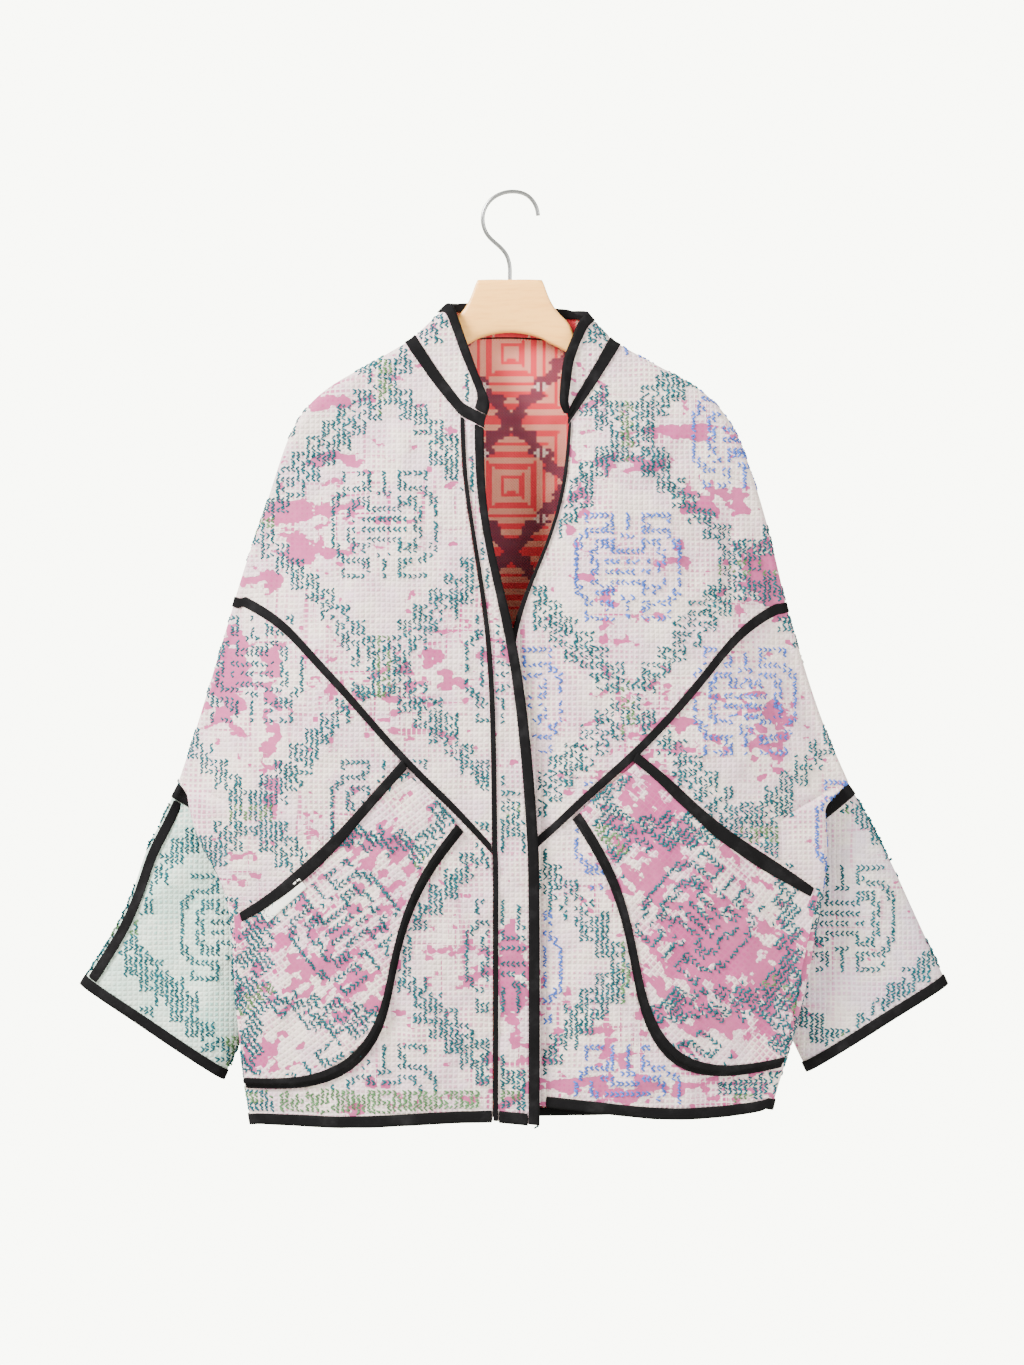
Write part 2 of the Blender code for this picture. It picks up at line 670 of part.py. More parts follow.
def back_panels(lines_right, lines_left):
    """Back upper grid and the patches of the back lower."""
    wing, centre, side = 7, 10, 6
    sides = {}
    for name, half, lines in (("right", RIGHT, lines_right), ("left", LEFT, lines_left)):
        band = BACK_BAND[name]
        corner = Vector(band[-1])
        tip = Vector(half["slit"][-1])
        turn = Vector(half["back_turn"])
        top = spread([lines["shoulder_line"][-1][:], *band], wing, 4.0)
        inner = spread((corner[:], tip[:]), len(lines["sleeve"]), TAPE_HALF, TAPE_HALF)
        lip = spread((lines["sleeve_line"][-1][:], tip[:]), wing, 4.0)
        under = spread((lines["fold_line"][0][:], tip[:]), side, 4.0)
        down = spread((tip[:], turn[:]), len(lines["fold"]), 7.0, EDGE_TAPE)
        hem = spread((lines["fold_line"][-1][:], turn[:]), side, 4.0)
        sides[name] = {
            "top": top, "inner": inner, "down": down, "hem": hem,
            "wing": patch(lines["sleeve_line"], inner, top, lip),
            "under": patch(lines["fold_line"], down, under, hem),
        }
    right, left = sides["right"], sides["left"]
    v_top = spread((right["top"][-1][:], (-60, -543), BACK_CENTRE, (60, -546), left["top"][-1][:]), centre)
    v_hem = spread((RIGHT["back_turn"], (0, -832), LEFT["back_turn"]), centre)
    main = patch(right["inner"] + right["down"][1:], left["inner"] + left["down"][1:], v_top, v_hem)
    seam = right["top"] + v_top[1:] + list(reversed(left["top"]))[1:]
    neck_points = [lines_right["shoulder_line"][0][:], *BACK_NECK[1:-1], lines_left["shoulder_line"][0][:]]
    neck = spread(neck_points, len(seam), 4.0, 4.0)
    upper = lay(patch(lines_right["shoulder_line"], lines_left["shoulder_line"], neck, seam), back_y, 1)
    upper = back_rims(upper, lines_right, "shoulder", False)
    upper = back_rims(upper, lines_left, "shoulder", True)
    upper = trim(upper, bottom=SEAM_GAP)
    patches = [lay(main, back_y, 1)]
    for name, lines in (("right", lines_right), ("left", lines_left)):
        wing_grid = back_rims(lay(sides[name]["wing"], back_y, 1), lines, "sleeve", False)
        under_grid = back_rims(lay(sides[name]["under"], recess_y, 1), lines, "fold", False)
        patches += [wing_grid, under_grid]
    for grid in patches[:2] + patches[3:4]:
        grid[0] = pull(grid[0], grid[1], SEAM_GAP)
    for grid in (patches[1], patches[3]):
        last, before = grid[-1][:-1], grid[-2][:-1]
        grid[-1] = pull(last, before, SEAM_GAP) + grid[-1][-1:]
    return upper, patches


def back_rims(grid, lines, name, at_end):
    """Back grid with the two columns that follow the front's folded edge."""
    made = []
    for point, normal, row in zip(lines[name], lines[name + "_normal"], grid):
        extra = [on_rim(point, normal, angle) for angle in RIM_BACK_ANGLES]
        made.append(row + list(reversed(extra)) if at_end else extra + row)
    return made


def placket_grid(seam):
    """Strip from the seam of the right front to its free edge."""
    net = []
    for start, end in zip(seam, matched(PLACKET_EDGE, seam)):
        width = (end - start).length
        stops = (0.0, TAPE_HALF / width, 0.5, 1.0 - min(EDGE_TAPE / width, PLACKET_SHARE), 1.0)
        net.append([start.lerp(end, stop) for stop in stops])
    return trim(lay(net, front_y, -1), left=SEAM_GAP)


def pocket_grid(half, height):
    opening = spread(half["pocket_open"], 10, TAPE_HALF, POCKET_TAPE)
    curved = spread(half["pocket_curve"], 10, TAPE_HALF, POCKET_TAPE)
    top = spread(half["pocket_top"], 7, TAPE_HALF, TAPE_HALF)
    side = spread((opening[-1][:], curved[-1][:]), 7, TAPE_HALF, TAPE_HALF)
    net = patch(opening, curved, top, side)
    return lay(net, height, -1)


def beyond(grid, index, neighbour, distance, height):
    """Points on the sheet just outside a side column of a grid."""
    made = []
    for (place, _), (inside, _) in zip(column(grid, index), column(grid, neighbour)):
        out = Vector((place.x - inside.x, place.z - inside.z)).normalized() * distance
        made.append(on_sheet(height, place.x + out.x, place.z + out.y, -1))
    return made


def raised(rows, lift):
    return [[(place + normal * lift, normal) for place, normal in row] for row in rows]


def tube_grid(half):
    """Rings of the lower sleeve, from the band at its top to the cuff."""
    outer = spread(half["tube_outer"], TUBE_RINGS + 2, EDGE_TAPE, EDGE_TAPE)
    inner = spread(half["tube_inner"], TUBE_RINGS + 2, EDGE_TAPE, EDGE_TAPE)
    places = []
    for ring, (start, end) in enumerate(zip(outer, inner)):
        down = ring / (len(outer) - 1)
        back_side, front_side = [], []
        for share in TUBE_SHARES:
            point = start.lerp(end, share)
            depth = TUBE_RADIUS * math.sqrt(1.0 - abs(2.0 * share - 1.0) ** TUBE_SQUARE)
            tall, around, along = TUBE_WAVES
            wave = tall * math.sin(share * around + down * along)
            wave *= math.sin(math.pi * share) * smooth(down * 3)
            near = TUBE_MIDDLE - depth + wave
            floor = TUBE_MIDDLE - 2 * TUBE_RADIUS
            if within_body(point, half):
                looks = [recess_y(point.x - half["sign"] * look, point.y) for look in EDGE_LOOKS]
                floor = max(looks) + half["sleeve_air"]
            near = max(near, floor)
            inner = TUBE_SIDES[0] < share < TUBE_SIDES[1]
            far = max(TUBE_MIDDLE + depth + wave, near + (TUBE_OPEN if inner else TUBE_SIDE_OPEN))
            meet = 1.0 - smooth(down * 4.0)
            if share in (0.0, 1.0):
                far = near = max(TUBE_MIDDLE, floor + TUBE_FOLD_AIR)
            else:
                top = max(back_y(point.x, point.y), near + TUBE_TOP_OPEN)
                far = far * (1 - meet) + top * meet
            back_side.append(Vector((point.x, far, point.y)))
            front_side.append(Vector((point.x, near, point.y)))
        places.append(back_side + list(reversed(front_side[:-1])))
    return with_normals(places)


def within_body(point, half):
    """True where the body's side lies in front of a point of the sleeve."""
    edge = [Vector(half["sleeve"][-1])] + curve(half["fold"])
    for start, end in zip(edge, edge[1:]):
        if point.y >= end.y:
            share = min(max((start.y - point.y) / (start.y - end.y), 0.0), 1.0)
            return abs(point.x) < abs(start.lerp(end, share).x) + EDGE_AIR
    return False


def with_normals(places):
    """Outward normals of closed rings, each ending on its first point and starting on its back."""
    made = []
    for i, ring in enumerate(places):
        above = places[max(i - 1, 0)]
        below = places[min(i + 1, len(places) - 1)]
        normals = []
        for j in range(len(ring)):
            after = ring[j + 1] if j + 1 < len(ring) else ring[1]
            before = ring[j - 1] if j > 0 else ring[-2]
            normals.append((after - before).cross(below[j] - above[j]).normalized())
        turned = 1 if normals[len(ring) // 4].y > 0 else -1
        made.append([(place, normal * turned) for place, normal in zip(ring, normals)])
    return made


def collar_base(upper_right, upper_left, back_upper, placket):
    """Top edges of the panels in one line, from the right front corner round the back to the left."""
    rows = []
    for index in (0, 1):
        placket_part = list(reversed(placket[index]))[:-1:2]
        right_part = list(reversed(upper_right[index]))
        back_part = back_upper[index][1:-1]
        left_part = upper_left[index]
        rows.append(placket_part + right_part + back_part + left_part)
    return rows


def collar_grid(base_rows):
    """Stand collar: its base sits on the panels' top edges and its top follows the table."""
    base, below = base_rows
    foot = []
    for (place, normal), (lower, _) in zip(base, below):
        gap = COLLAR_BACK_GAP if place.y > COLLAR_BACK else COLLAR_GAP
        foot.append((place + (place - lower).normalized() * gap, normal))
    controls = []
    start = 0
    for base_x, base_z, *_ in COLLAR:
        away = [(place.x - base_x) ** 2 + (place.z - base_z) ** 2 for place, _ in foot]
        nearest = min(range(start, len(foot)), key=lambda k: away[k] + (k - start) * 9)
        controls.append(nearest)
        start = min(nearest + 1, len(foot) - 1)
    controls[0], controls[-1] = 0, len(foot) - 1
    tops = curve([(row[2], row[3], row[4]) for row in COLLAR], COLLAR_STEPS)
    rows = [[], [], [], []]
    for k, (place, normal) in enumerate(foot):
        for piece in range(len(controls) - 1):
            if controls[piece] <= k <= controls[piece + 1]:
                span = max(controls[piece + 1] - controls[piece], 1)
                top = tops[round((piece + (k - controls[piece]) / span) * COLLAR_STEPS)]
                break
        rise = top - place
        low = min(COLLAR_ROWS[0] / rise.length, COLLAR_SHARES[0])
        high = max(1.0 - COLLAR_ROWS[1] / rise.length, COLLAR_SHARES[1])
        for line, share in zip(rows, (0.0, low, high, 1.0)):
            line.append(place + rise * share)
    return rows


def collar_normals(rows):
    made = []
    for i, row in enumerate(rows):
        line = []
        for j, place in enumerate(row):
            run = row[min(j + 1, len(row) - 1)] - row[max(j - 1, 0)]
            rise = rows[-1][j] - rows[0][j]
            normal = run.cross(rise).normalized()
            line.append((place, normal))
        made.append(line)
    middle_column = len(rows[0]) // 2
    if made[0][middle_column][1].y < 0:
        made = [[(place, -normal) for place, normal in row] for row in made]
    return made


def hanger_wood(collection, cutters):
    """Wooden body: rounded sections across it, set along X, with a bore for the hook."""
    line = curve(RIGHT["shoulder"])
    right_top = [(abs(p.x), p.y) for p in line if -ARM_END - ARM_LOOK[1] < p.x < -ARM_LOOK[0]]
    line = curve(LEFT["shoulder"])
    left_top = [(p.x, p.y) for p in line if ARM_LOOK[0] < p.x < ARM_END + ARM_LOOK[1]]
    sections = []
    for sign, shoulder in ((-1, right_top), (1, left_top)):
        side = [(sign * x, top, low) for x, top, low in BLOCK[(1 if sign > 0 else 0):]]
        reach = ARM_START
        while reach < ARM_END + 1:
            top = arm_top(shoulder, reach)
            share = (reach - ARM_START) / (ARM_END - ARM_START)
            side.append((sign * reach, top, top - ARM_DEPTH[0] * (1 - share) - ARM_DEPTH[1] * share))
            reach += ARM_STEP
        sections = list(reversed(side)) if sign < 0 else sections + side
    rings = []
    half = ARM_THICK / 2
    last = len(sections) - 1
    for k, (x, top, low) in enumerate(sections):
        shrink = END_SHRINK if k in (0, last) else 1.0
        centre = (top + low) / 2
        ring = []
        for angle in range(0, 360, RING_TURN):
            turn = math.radians(angle)
            y = half * shrink * math.cos(turn)
            lift = math.sin(turn)
            tall = (top - low) / 2 * shrink
            z = centre + (tall - half) * math.copysign(min(abs(lift) * RING_SQUARE, 1), lift) + half * lift
            ring.append(Vector((x, y, z)))
        rings.append(ring)
    mesh = bpy.data.meshes.new("hanger_wood")
    size = len(rings[0])
    faces = []
    for k in range(len(rings) - 1):
        for j in range(size):
            after = (j + 1) % size
            faces.append((k * size + j, k * size + after, (k + 1) * size + after, (k + 1) * size + j))
    faces.append(tuple(range(size)))
    faces.append(tuple(reversed(range(last * size, last * size + size))))
    mesh.from_pydata([point * MM for ring in rings for point in ring], [], faces)
    shape = bmesh.new()
    shape.from_mesh(mesh)
    bmesh.ops.recalc_face_normals(shape, faces=shape.faces)
    shape.to_mesh(mesh)
    shape.free()
    wood = add_object("hanger_wood", mesh, "wood", collection)
    bore = bpy.data.meshes.new("hook_bore")
    shape = bmesh.new()
    bmesh.ops.create_cone(shape, cap_ends=True, segments=16, radius1=BORE_RADIUS * MM,
                          radius2=BORE_RADIUS * MM, depth=BORE_DEPTH * 2 * MM)
    shape.to_mesh(bore)
    shape.free()
    cutter = bpy.data.objects.new("hook_bore", bore)
    cutter.location = (0, 0, BLOCK[0][1] * MM)
    cutter.hide_render = True
    cutter.display_type = "WIRE"
    cutters.objects.link(cutter)
    cut = wood.modifiers.new("bore", "BOOLEAN")
    cut.object = cutter
    cut.operation = "DIFFERENCE"
    cut.solver = "EXACT"


def arm_top(shoulder, reach):
    """Top of the arm under the cloth's fold: a wall and a little air below the shoulder's outline."""
    for (x0, z0), (x1, z1) in zip(shoulder, shoulder[1:]):
        if x0 <= reach <= x1:
            slope = (z1 - z0) / (x1 - x0)
            z = z0 + slope * (reach - x0)
            return z - (WALL + ARM_AIR) * math.sqrt(1 + slope * slope)
    return shoulder[-1][1] - 6.0


def hanger_hook(collection):
    line = bpy.data.curves.new("hanger_hook", "CURVE")
    line.dimensions = "3D"
    line.bevel_depth = HOOK_WIRE * MM
    line.bevel_resolution = 2
    line.use_fill_caps = True
    points = spread(HOOK, 30)
    spline = line.splines.new("POLY")
    spline.points.add(len(points) - 1)
    for target, point in zip(spline.points, points):
        target.co = (point.x * MM, 0.0, point.y * MM, 1.0)
    add_object("hanger_hook", line, "metal", collection)


def build_jacket(collection):
    lines_right, lines_left = half_lines(RIGHT), half_lines(LEFT)
    upper_right, lower_right, seam = front_panels(RIGHT, lines_right, front_y)
    upper_left, lower_left, _ = front_panels(LEFT, lines_left, left_front_y)
    back_upper, back_lower = back_panels(lines_right, lines_left)
    placket = placket_grid(seam)
    wall("upper_front_right", [thicken(upper_right, WALL)], "cloth", collection)
    wall("upper_front_left", [thicken(upper_left, WALL)], "cloth", collection)
    wall("lower_front_right", [thicken(lower_right, WALL)], "cloth", collection)
    wall("lower_front_left", [thicken(lower_left, WALL)], "cloth", collection)
    wall("back_upper", [thicken(back_upper, WALL)], "cloth", collection)
    wall("back_lower", [thicken(grid, WALL) for grid in back_lower], "cloth", collection)
    wall("placket", [thicken(placket, WALL)], "cloth", collection)
    base_rows = collar_base(upper_right, upper_left, back_upper, placket)
    collar = collar_normals(collar_grid(base_rows))
    wall("collar", [thicken(collar, WALL, margin=9)], "cloth", collection)
    tubes = {}
    for name, half, kind in (("right", RIGHT, "mint"), ("left", LEFT, "cloth")):
        tubes[name] = tube_grid(half)
        wall("lower_sleeve_" + name, [thicken(tubes[name], SLEEVE_WALL)], kind, collection)
    pockets = {}
    for name, half, height in (("right", RIGHT, front_y), ("left", LEFT, left_front_y)):
        pockets[name] = pocket_grid(half, height)
        wall("pocket_" + name, [thicken(pockets[name], POCKET_WALL, lift=POCKET_LIFT)], "pocket", collection)
        pocket_tapes(name, pockets[name], height, collection)
    seam_tapes((upper_right, lower_right), (upper_left, lower_left), (back_upper, back_lower), collection)
    edge_tapes(upper_left, lower_left, placket, collection)
    collar_tapes(base_rows, collar, collection)
    hems(lower_right, lower_left, back_lower, placket, collection)
    for name in ("right", "left"):
        sleeve_tapes(name, tubes[name], collection)
    label(collection)


def pocket_tapes(name, grid, height, collection):
    top = POCKET_LIFT + POCKET_WALL
    margin, edge = raised([column(grid, 1), column(grid, 0)], top)
    past, rise = OPENING_DROP
    drop = []
    for (place, normal), (_, outer) in zip(beyond(grid, 0, 1, past, height), edge):
        drop.append((place + normal * rise, (outer + normal).normalized()))
    wall("pocket_opening_tape_" + name, [tape([margin[:-1], edge[:-1], drop[:-1]])], "tape", collection)
    rows = raised([column(grid, -2), column(grid, -1)], top)
    for past, rise in CURVE_STEPS:
        rows += raised([beyond(grid, -1, -2, past, height)], rise)
    wall("pocket_curve_tape_" + name, [tape(rows)], "tape", collection)


def seam_tapes(right, left, back, collection):
    """Tapes over the seams between upper and lower panels, each given as a pair."""
    upper, lower = right
    rows = [upper[-2], upper[-1], lower[0], lower[1]]
    wall("diagonal_tape_right", [tape(shorten(rows, end=TAPE_GAP))], "tape", collection)
    upper, lower = left
    rows = [upper[-2][:-1], upper[-1][:-1], lower[0][:-1], lower[1][:-1]]
    wall("diagonal_tape_left", [tape(shorten(rows, end=TAPE_GAP))], "tape", collection)
    upper, (main, wing_right, _, wing_left, _) = back
    joined = []
    for index in (0, 1):
        joined.append(wing_right[index] + main[index][1:] + list(reversed(wing_left[index]))[1:])
    wall("back_seam_tape", [tape([upper[-2], upper[-1], joined[0], joined[1]])], "tape", collection)


def edge_tapes(upper_left, lower_left, placket, collection):
    rows = shorten([column(placket, 0)[1:], column(placket, 1)[1:]], start=TAPE_GAP)
    wall("placket_seam_tape", [tape(rows)], "tape", collection)
    margin, edge = shorten([column(placket, -2)[1:], column(placket, -1)[1:]], start=TAPE_GAP)
    wall("placket_edge_tape", [hem_tape(margin, edge, WALL)], "tape", collection)
    margin = column(upper_left, -2)[1:] + column(lower_left, -2)
    edge = column(upper_left, -1)[1:] + column(lower_left, -1)
    margin, edge = shorten([margin, edge], start=TAPE_GAP)
    wall("left_edge_tape", [hem_tape(margin, edge, WALL)], "tape", collection)


def collar_tapes(base_rows, collar, collection):
    base, below = base_rows
    rows = [collar[1], collar[0], base, below]
    longer = []
    for row in rows:
        longer.append(pull(row[:1], row[1:2], -NECK_PAST) + row + pull(row[-1:], row[-2:-1], -NECK_PAST))
    wall("neck_tape", [tape(longer)], "tape", collection)
    foot, low, top = collar[1:]
    margin = [foot[1], low[1], low[1], *low[1:-1], low[-2], low[-2], foot[-2]]
    edge = [foot[0], low[0], *top, low[-1], foot[-1]]
    margin, edge = shorten([margin, edge], TAPE_GAP, TAPE_GAP)
    wall("collar_tape", [hem_tape(margin, edge, WALL, COLLAR_LIFT)], "tape", collection)


def hems(lower_right, lower_left, back_lower, placket, collection):
    margin, edge = shorten([lower_right[-2], lower_right[-1]], end=TAPE_GAP)
    wall("hem_tape_right", [hem_tape(margin, edge, WALL)], "tape", collection)
    margin, edge = shorten([placket[-2][1:-1], placket[-1][1:-1]], TAPE_GAP, TAPE_GAP)
    wall("hem_tape_placket", [hem_tape(margin, edge, WALL)], "tape", collection)
    margin, edge = lower_left[-2][:-2], lower_left[-1][:-2]
    wall("hem_tape_left", [hem_tape(margin, edge, WALL)], "tape", collection)
    main, _, under_right, _, under_left = back_lower
    rows = []
    for index in (-2, -1):
        rows.append(under_right[index] + main[index][1:] + list(reversed(under_left[index]))[1:])
    wall("hem_tape_back", [hem_tape(rows[0], rows[1], WALL)], "tape", collection)


def sleeve_tapes(name, tube, collection):
    wall("sleeve_band_" + name, [tape([tube[0], tube[1]])], "tape", collection)
    wall("cuff_tape_" + name, [hem_tape(tube[-2], tube[-1], SLEEVE_WALL)], "tape", collection)
    if name == "right":
        rows = [column(tube, -3)[1:-1], column(tube, -2)[1:-1]]
    else:
        rows = [column(tube, 1)[1:-1], column(tube, 2)[1:-1]]
    wall("sleeve_seam_tape_" + name, [tape(shorten(rows, TAPE_GAP, TAPE_GAP))], "tape", collection)


def label(collection):
    corners = [Vector(point) for point in LABEL]
    net = []
    for step in range(LABEL_STEPS + 1):
        share = step / LABEL_STEPS
        start, end = corners[0].lerp(corners[1], share), corners[3].lerp(corners[2], share)
        net.append([start, start.lerp(end, 0.5), end])
    grid = lay(net, front_y, -1)
    lift = POCKET_LIFT + POCKET_WALL + LABEL_AIR
    wall("blank_label", [tape(grid, lift, LABEL_THICK)], "label", collection)


def main():
    for old in list(bpy.data.objects):
        bpy.data.objects.remove(old, do_unlink=True)
    parts = bpy.data.collections.new("quilted_jacket")
    cutters = bpy.data.collections.new("cutters")
    bpy.context.scene.collection.children.link(parts)
    bpy.context.scene.collection.children.link(cutters)
    build_jacket(parts)
    hanger_wood(parts, cutters)
    hanger_hook(parts)


main()
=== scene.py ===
"""Looks of a quilted jacket on a wooden hanger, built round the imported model.

Everything is in metres in the model's own frame: X runs to the wearer's left, the front faces -Y
and Z is up from the inside top of the hanger's hook.
"""

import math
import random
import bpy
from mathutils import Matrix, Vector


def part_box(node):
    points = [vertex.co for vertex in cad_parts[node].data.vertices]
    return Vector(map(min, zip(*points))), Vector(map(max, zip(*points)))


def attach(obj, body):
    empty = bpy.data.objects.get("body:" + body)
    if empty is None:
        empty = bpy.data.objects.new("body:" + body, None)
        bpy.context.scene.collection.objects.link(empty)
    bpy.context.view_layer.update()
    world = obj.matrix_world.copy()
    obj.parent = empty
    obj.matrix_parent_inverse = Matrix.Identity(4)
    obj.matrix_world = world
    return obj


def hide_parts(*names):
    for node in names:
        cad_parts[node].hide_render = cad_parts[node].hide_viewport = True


bl_info = {
    "name": "Quilted jacket",
    "version": (1, 0, 0),
    "blender": (4, 5, 0),
    "location": "3D View > Sidebar > Jacket",
    "description": "Dresses the modelled jacket in hand-quilted cloth, thread, bias tape, wood and wire",
    "category": "Object",
}

import bmesh
import bpy
import numpy as np
from mathutils import Vector
from mathutils.bvhtree import BVHTree
from mathutils.kdtree import KDTree

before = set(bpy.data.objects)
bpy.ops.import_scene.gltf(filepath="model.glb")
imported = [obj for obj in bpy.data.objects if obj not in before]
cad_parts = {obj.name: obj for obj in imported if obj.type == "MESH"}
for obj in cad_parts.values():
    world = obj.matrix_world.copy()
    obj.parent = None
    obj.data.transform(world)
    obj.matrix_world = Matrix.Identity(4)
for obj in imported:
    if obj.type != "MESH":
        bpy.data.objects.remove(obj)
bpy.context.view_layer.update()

# Joining the model's loose triangles, the turn at a skin's edge and the most within a skin
MERGE = 0.00001
JOIN_FACES, JOIN_SHAPE = math.radians(50), math.radians(75)
SKIN_TURN, SAME_SKIN = math.radians(52), math.radians(35)
# Radius of the body's folded rim above and below, the height where it changes and over how far
RIM_TOP, RIM_LOW = 0.0101, 0.007
RIM_CHANGE, RIM_BLEND = -0.265, 0.07

# Panels: node, facing (-1 front, 1 back, 0 round), finish, flat width, length and area
PANELS = (
    ("upper_front_right", -1, "cloth", 0.245, 0.470, 0.0642),
    ("upper_front_left", -1, "cloth", 0.270, 0.480, 0.0721),
    ("lower_front_right", -1, "cloth", 0.300, 0.500, 0.0991),
    ("lower_front_left", -1, "cloth", 0.325, 0.490, 0.1029),
    ("placket", -1, "cloth", 0.058, 0.650, 0.0213),
    ("back_upper", 1, "cloth", 0.510, 0.480, 0.1503),
    ("back_lower", 1, "cloth", 0.620, 0.490, 0.1953),
    ("collar", 0, "cloth", 0.300, 0.048, 0.0118),
    ("lower_sleeve_right", 0, "mint", 0.340, 0.265, 0.0606),
    ("lower_sleeve_left", 0, "lilac", 0.335, 0.265, 0.0585),
    ("pocket_right", -1, "pocket_right", 0.215, 0.300, 0.0326),
    ("pocket_left", -1, "pocket_left", 0.225, 0.300, 0.0369),
)
ROUND = ("collar", "lower_sleeve_right", "lower_sleeve_left")
# The folded body's half width is measured on these panels, in steps of height
SIDE_PANELS = {
    -1: ("upper_front_right", "lower_front_right"),
    1: ("upper_front_left", "lower_front_left"),
}
HEIGHT_LOW, HEIGHT_TOP, HEIGHT_STEP = -0.85, -0.12, 0.01
TAPES = {
    "front": ("diagonal_tape_right", "diagonal_tape_left", "placket_seam_tape", "placket_edge_tape",
              "left_edge_tape", "hem_tape_right", "hem_tape_placket", "hem_tape_left",
              "pocket_opening_tape_right", "pocket_opening_tape_left", "pocket_curve_tape_right",
              "pocket_curve_tape_left"),
    "back": ("back_seam_tape", "hem_tape_back"),
    "round": ("neck_tape", "collar_tape", "sleeve_band_right", "sleeve_band_left", "cuff_tape_right",
              "cuff_tape_left", "sleeve_seam_tape_right", "sleeve_seam_tape_left"),
}

# Creases: x, z at both ends, width and height, in metres (out is positive)
FRONT_CREASES = (
    (-0.232, -0.255, -0.238, -0.395, 0.020, 0.0016), (-0.212, -0.300, -0.196, -0.420, 0.017, -0.0015),
    (-0.170, -0.205, -0.128, -0.300, 0.024, -0.0016), (-0.150, -0.420, -0.070, -0.490, 0.026, 0.0014),
    (-0.236, -0.470, -0.205, -0.560, 0.020, -0.0022), (-0.214, -0.470, -0.176, -0.575, 0.016, 0.0018),
    (-0.196, -0.640, -0.224, -0.780, 0.024, 0.0018), (-0.090, -0.700, -0.104, -0.815, 0.022, -0.0015),
    (-0.160, -0.730, -0.140, -0.790, 0.018, 0.0014), (-0.050, -0.250, -0.062, -0.420, 0.022, 0.0012),
    (0.212, -0.235, 0.226, -0.360, 0.018, 0.0018), (0.196, -0.250, 0.206, -0.400, 0.014, -0.0018),
    (0.227, -0.440, 0.262, -0.500, 0.013, -0.0022), (0.210, -0.430, 0.246, -0.520, 0.014, 0.0022),
    (0.236, -0.430, 0.280, -0.512, 0.012, 0.0018), (0.160, -0.205, 0.110, -0.290, 0.024, -0.0016),
    (0.118, -0.430, 0.052, -0.500, 0.026, -0.0014), (0.204, -0.640, 0.226, -0.770, 0.022, 0.0018),
    (0.130, -0.640, 0.178, -0.700, 0.020, -0.0016), (0.150, -0.700, 0.196, -0.742, 0.016, 0.0016),
    (0.086, -0.770, 0.140, -0.812, 0.020, 0.0014), (0.066, -0.300, 0.072, -0.420, 0.024, 0.0012),
)
BACK_CREASES = (
    (-0.140, -0.215, -0.060, -0.330, 0.026, -0.0018), (0.120, -0.210, 0.062, -0.345, 0.024, -0.0020),
    (-0.060, -0.400, -0.110, -0.560, 0.028, 0.0016), (0.070, -0.380, 0.120, -0.540, 0.026, 0.0016),
    (-0.020, -0.640, -0.040, -0.810, 0.026, -0.0018), (0.050, -0.660, 0.060, -0.815, 0.022, 0.0018),
    (-0.100, -0.700, -0.110, -0.815, 0.020, 0.0016), (0.010, -0.200, 0.004, -0.330, 0.030, 0.0014),
)
SLEEVE_CREASES = (
    (0.250, -0.600, 0.330, -0.700, 0.030, 0.0016), (0.300, -0.590, 0.350, -0.660, 0.022, -0.0015),
    (0.250, -0.680, 0.300, -0.740, 0.022, -0.0014), (-0.250, -0.600, -0.320, -0.690, 0.030, 0.0016),
    (-0.292, -0.590, -0.346, -0.670, 0.020, -0.0015), (-0.240, -0.660, -0.290, -0.750, 0.024, -0.0013),
)
CREASE_GAIN = 1.7
CREASE_BOW = 0.006
# Waves of the quilting: length and height of each set, how many cross, and the turn between them
WAVE_SIZES = ((0.034, 0.00085), (0.016, 0.00042))
WAVE_COUNT = 7
WAVE_TURN = 2.399
WAVE_SEED = 1.7
# Creases and waves fade towards the folded edge, and towards the shoulders' fold beside the neck
EDGE_START, EDGE_FADE = 0.012, 0.035
SHOULDER_TOP, SHOULDER_FADE = -0.165, 0.05
NECK_SIDE = 0.1

# Places where the floats are worn through: x, z, half width, half height
WORN = (
    (-0.172, -0.187, 0.060, 0.009), (-0.171, -0.239, 0.052, 0.010), (-0.198, -0.284, 0.036, 0.012),
    (-0.175, -0.324, 0.032, 0.012), (-0.227, -0.347, 0.024, 0.015), (-0.213, -0.490, 0.010, 0.095),
    (0.172, -0.215, 0.075, 0.009), (0.193, -0.275, 0.046, 0.018), (0.100, -0.243, 0.046, 0.009),
    (0.232, -0.342, 0.026, 0.034), (0.236, -0.493, 0.036, 0.046), (0.004, -0.700, 0.016, 0.070),
    (0.092, -0.802, 0.070, 0.014), (-0.121, -0.590, 0.040, 0.026), (-0.165, -0.722, 0.075, 0.048),
    (-0.205, -0.768, 0.046, 0.030), (0.190, -0.700, 0.085, 0.070), (0.112, -0.590, 0.040, 0.052),
    (0.062, -0.296, 0.014, 0.040), (-0.252, -0.430, 0.018, 0.060),
)
WORN_SHARE = 0.20
SPOT_REACH, SPOT_FADE = 1.25, 0.75
# Olive rows over the right front's hem: x and z where they start and end
HEM_ROWS = (-0.205, -0.028, -0.827, -0.803)
# Sleeve bands: outer and inner end as x, z, and how far each end reaches up to the upper sleeve
BANDS = {
    "sleeve_band_right": ((-0.3025, -0.535), (-0.176, -0.611)),
    "sleeve_band_left": ((0.308, -0.533), (0.190, -0.628)),
}
BAND_REACH = (0.008, 0.002)
BAND_TOP, BAND_FADE = 0.007, 0.006
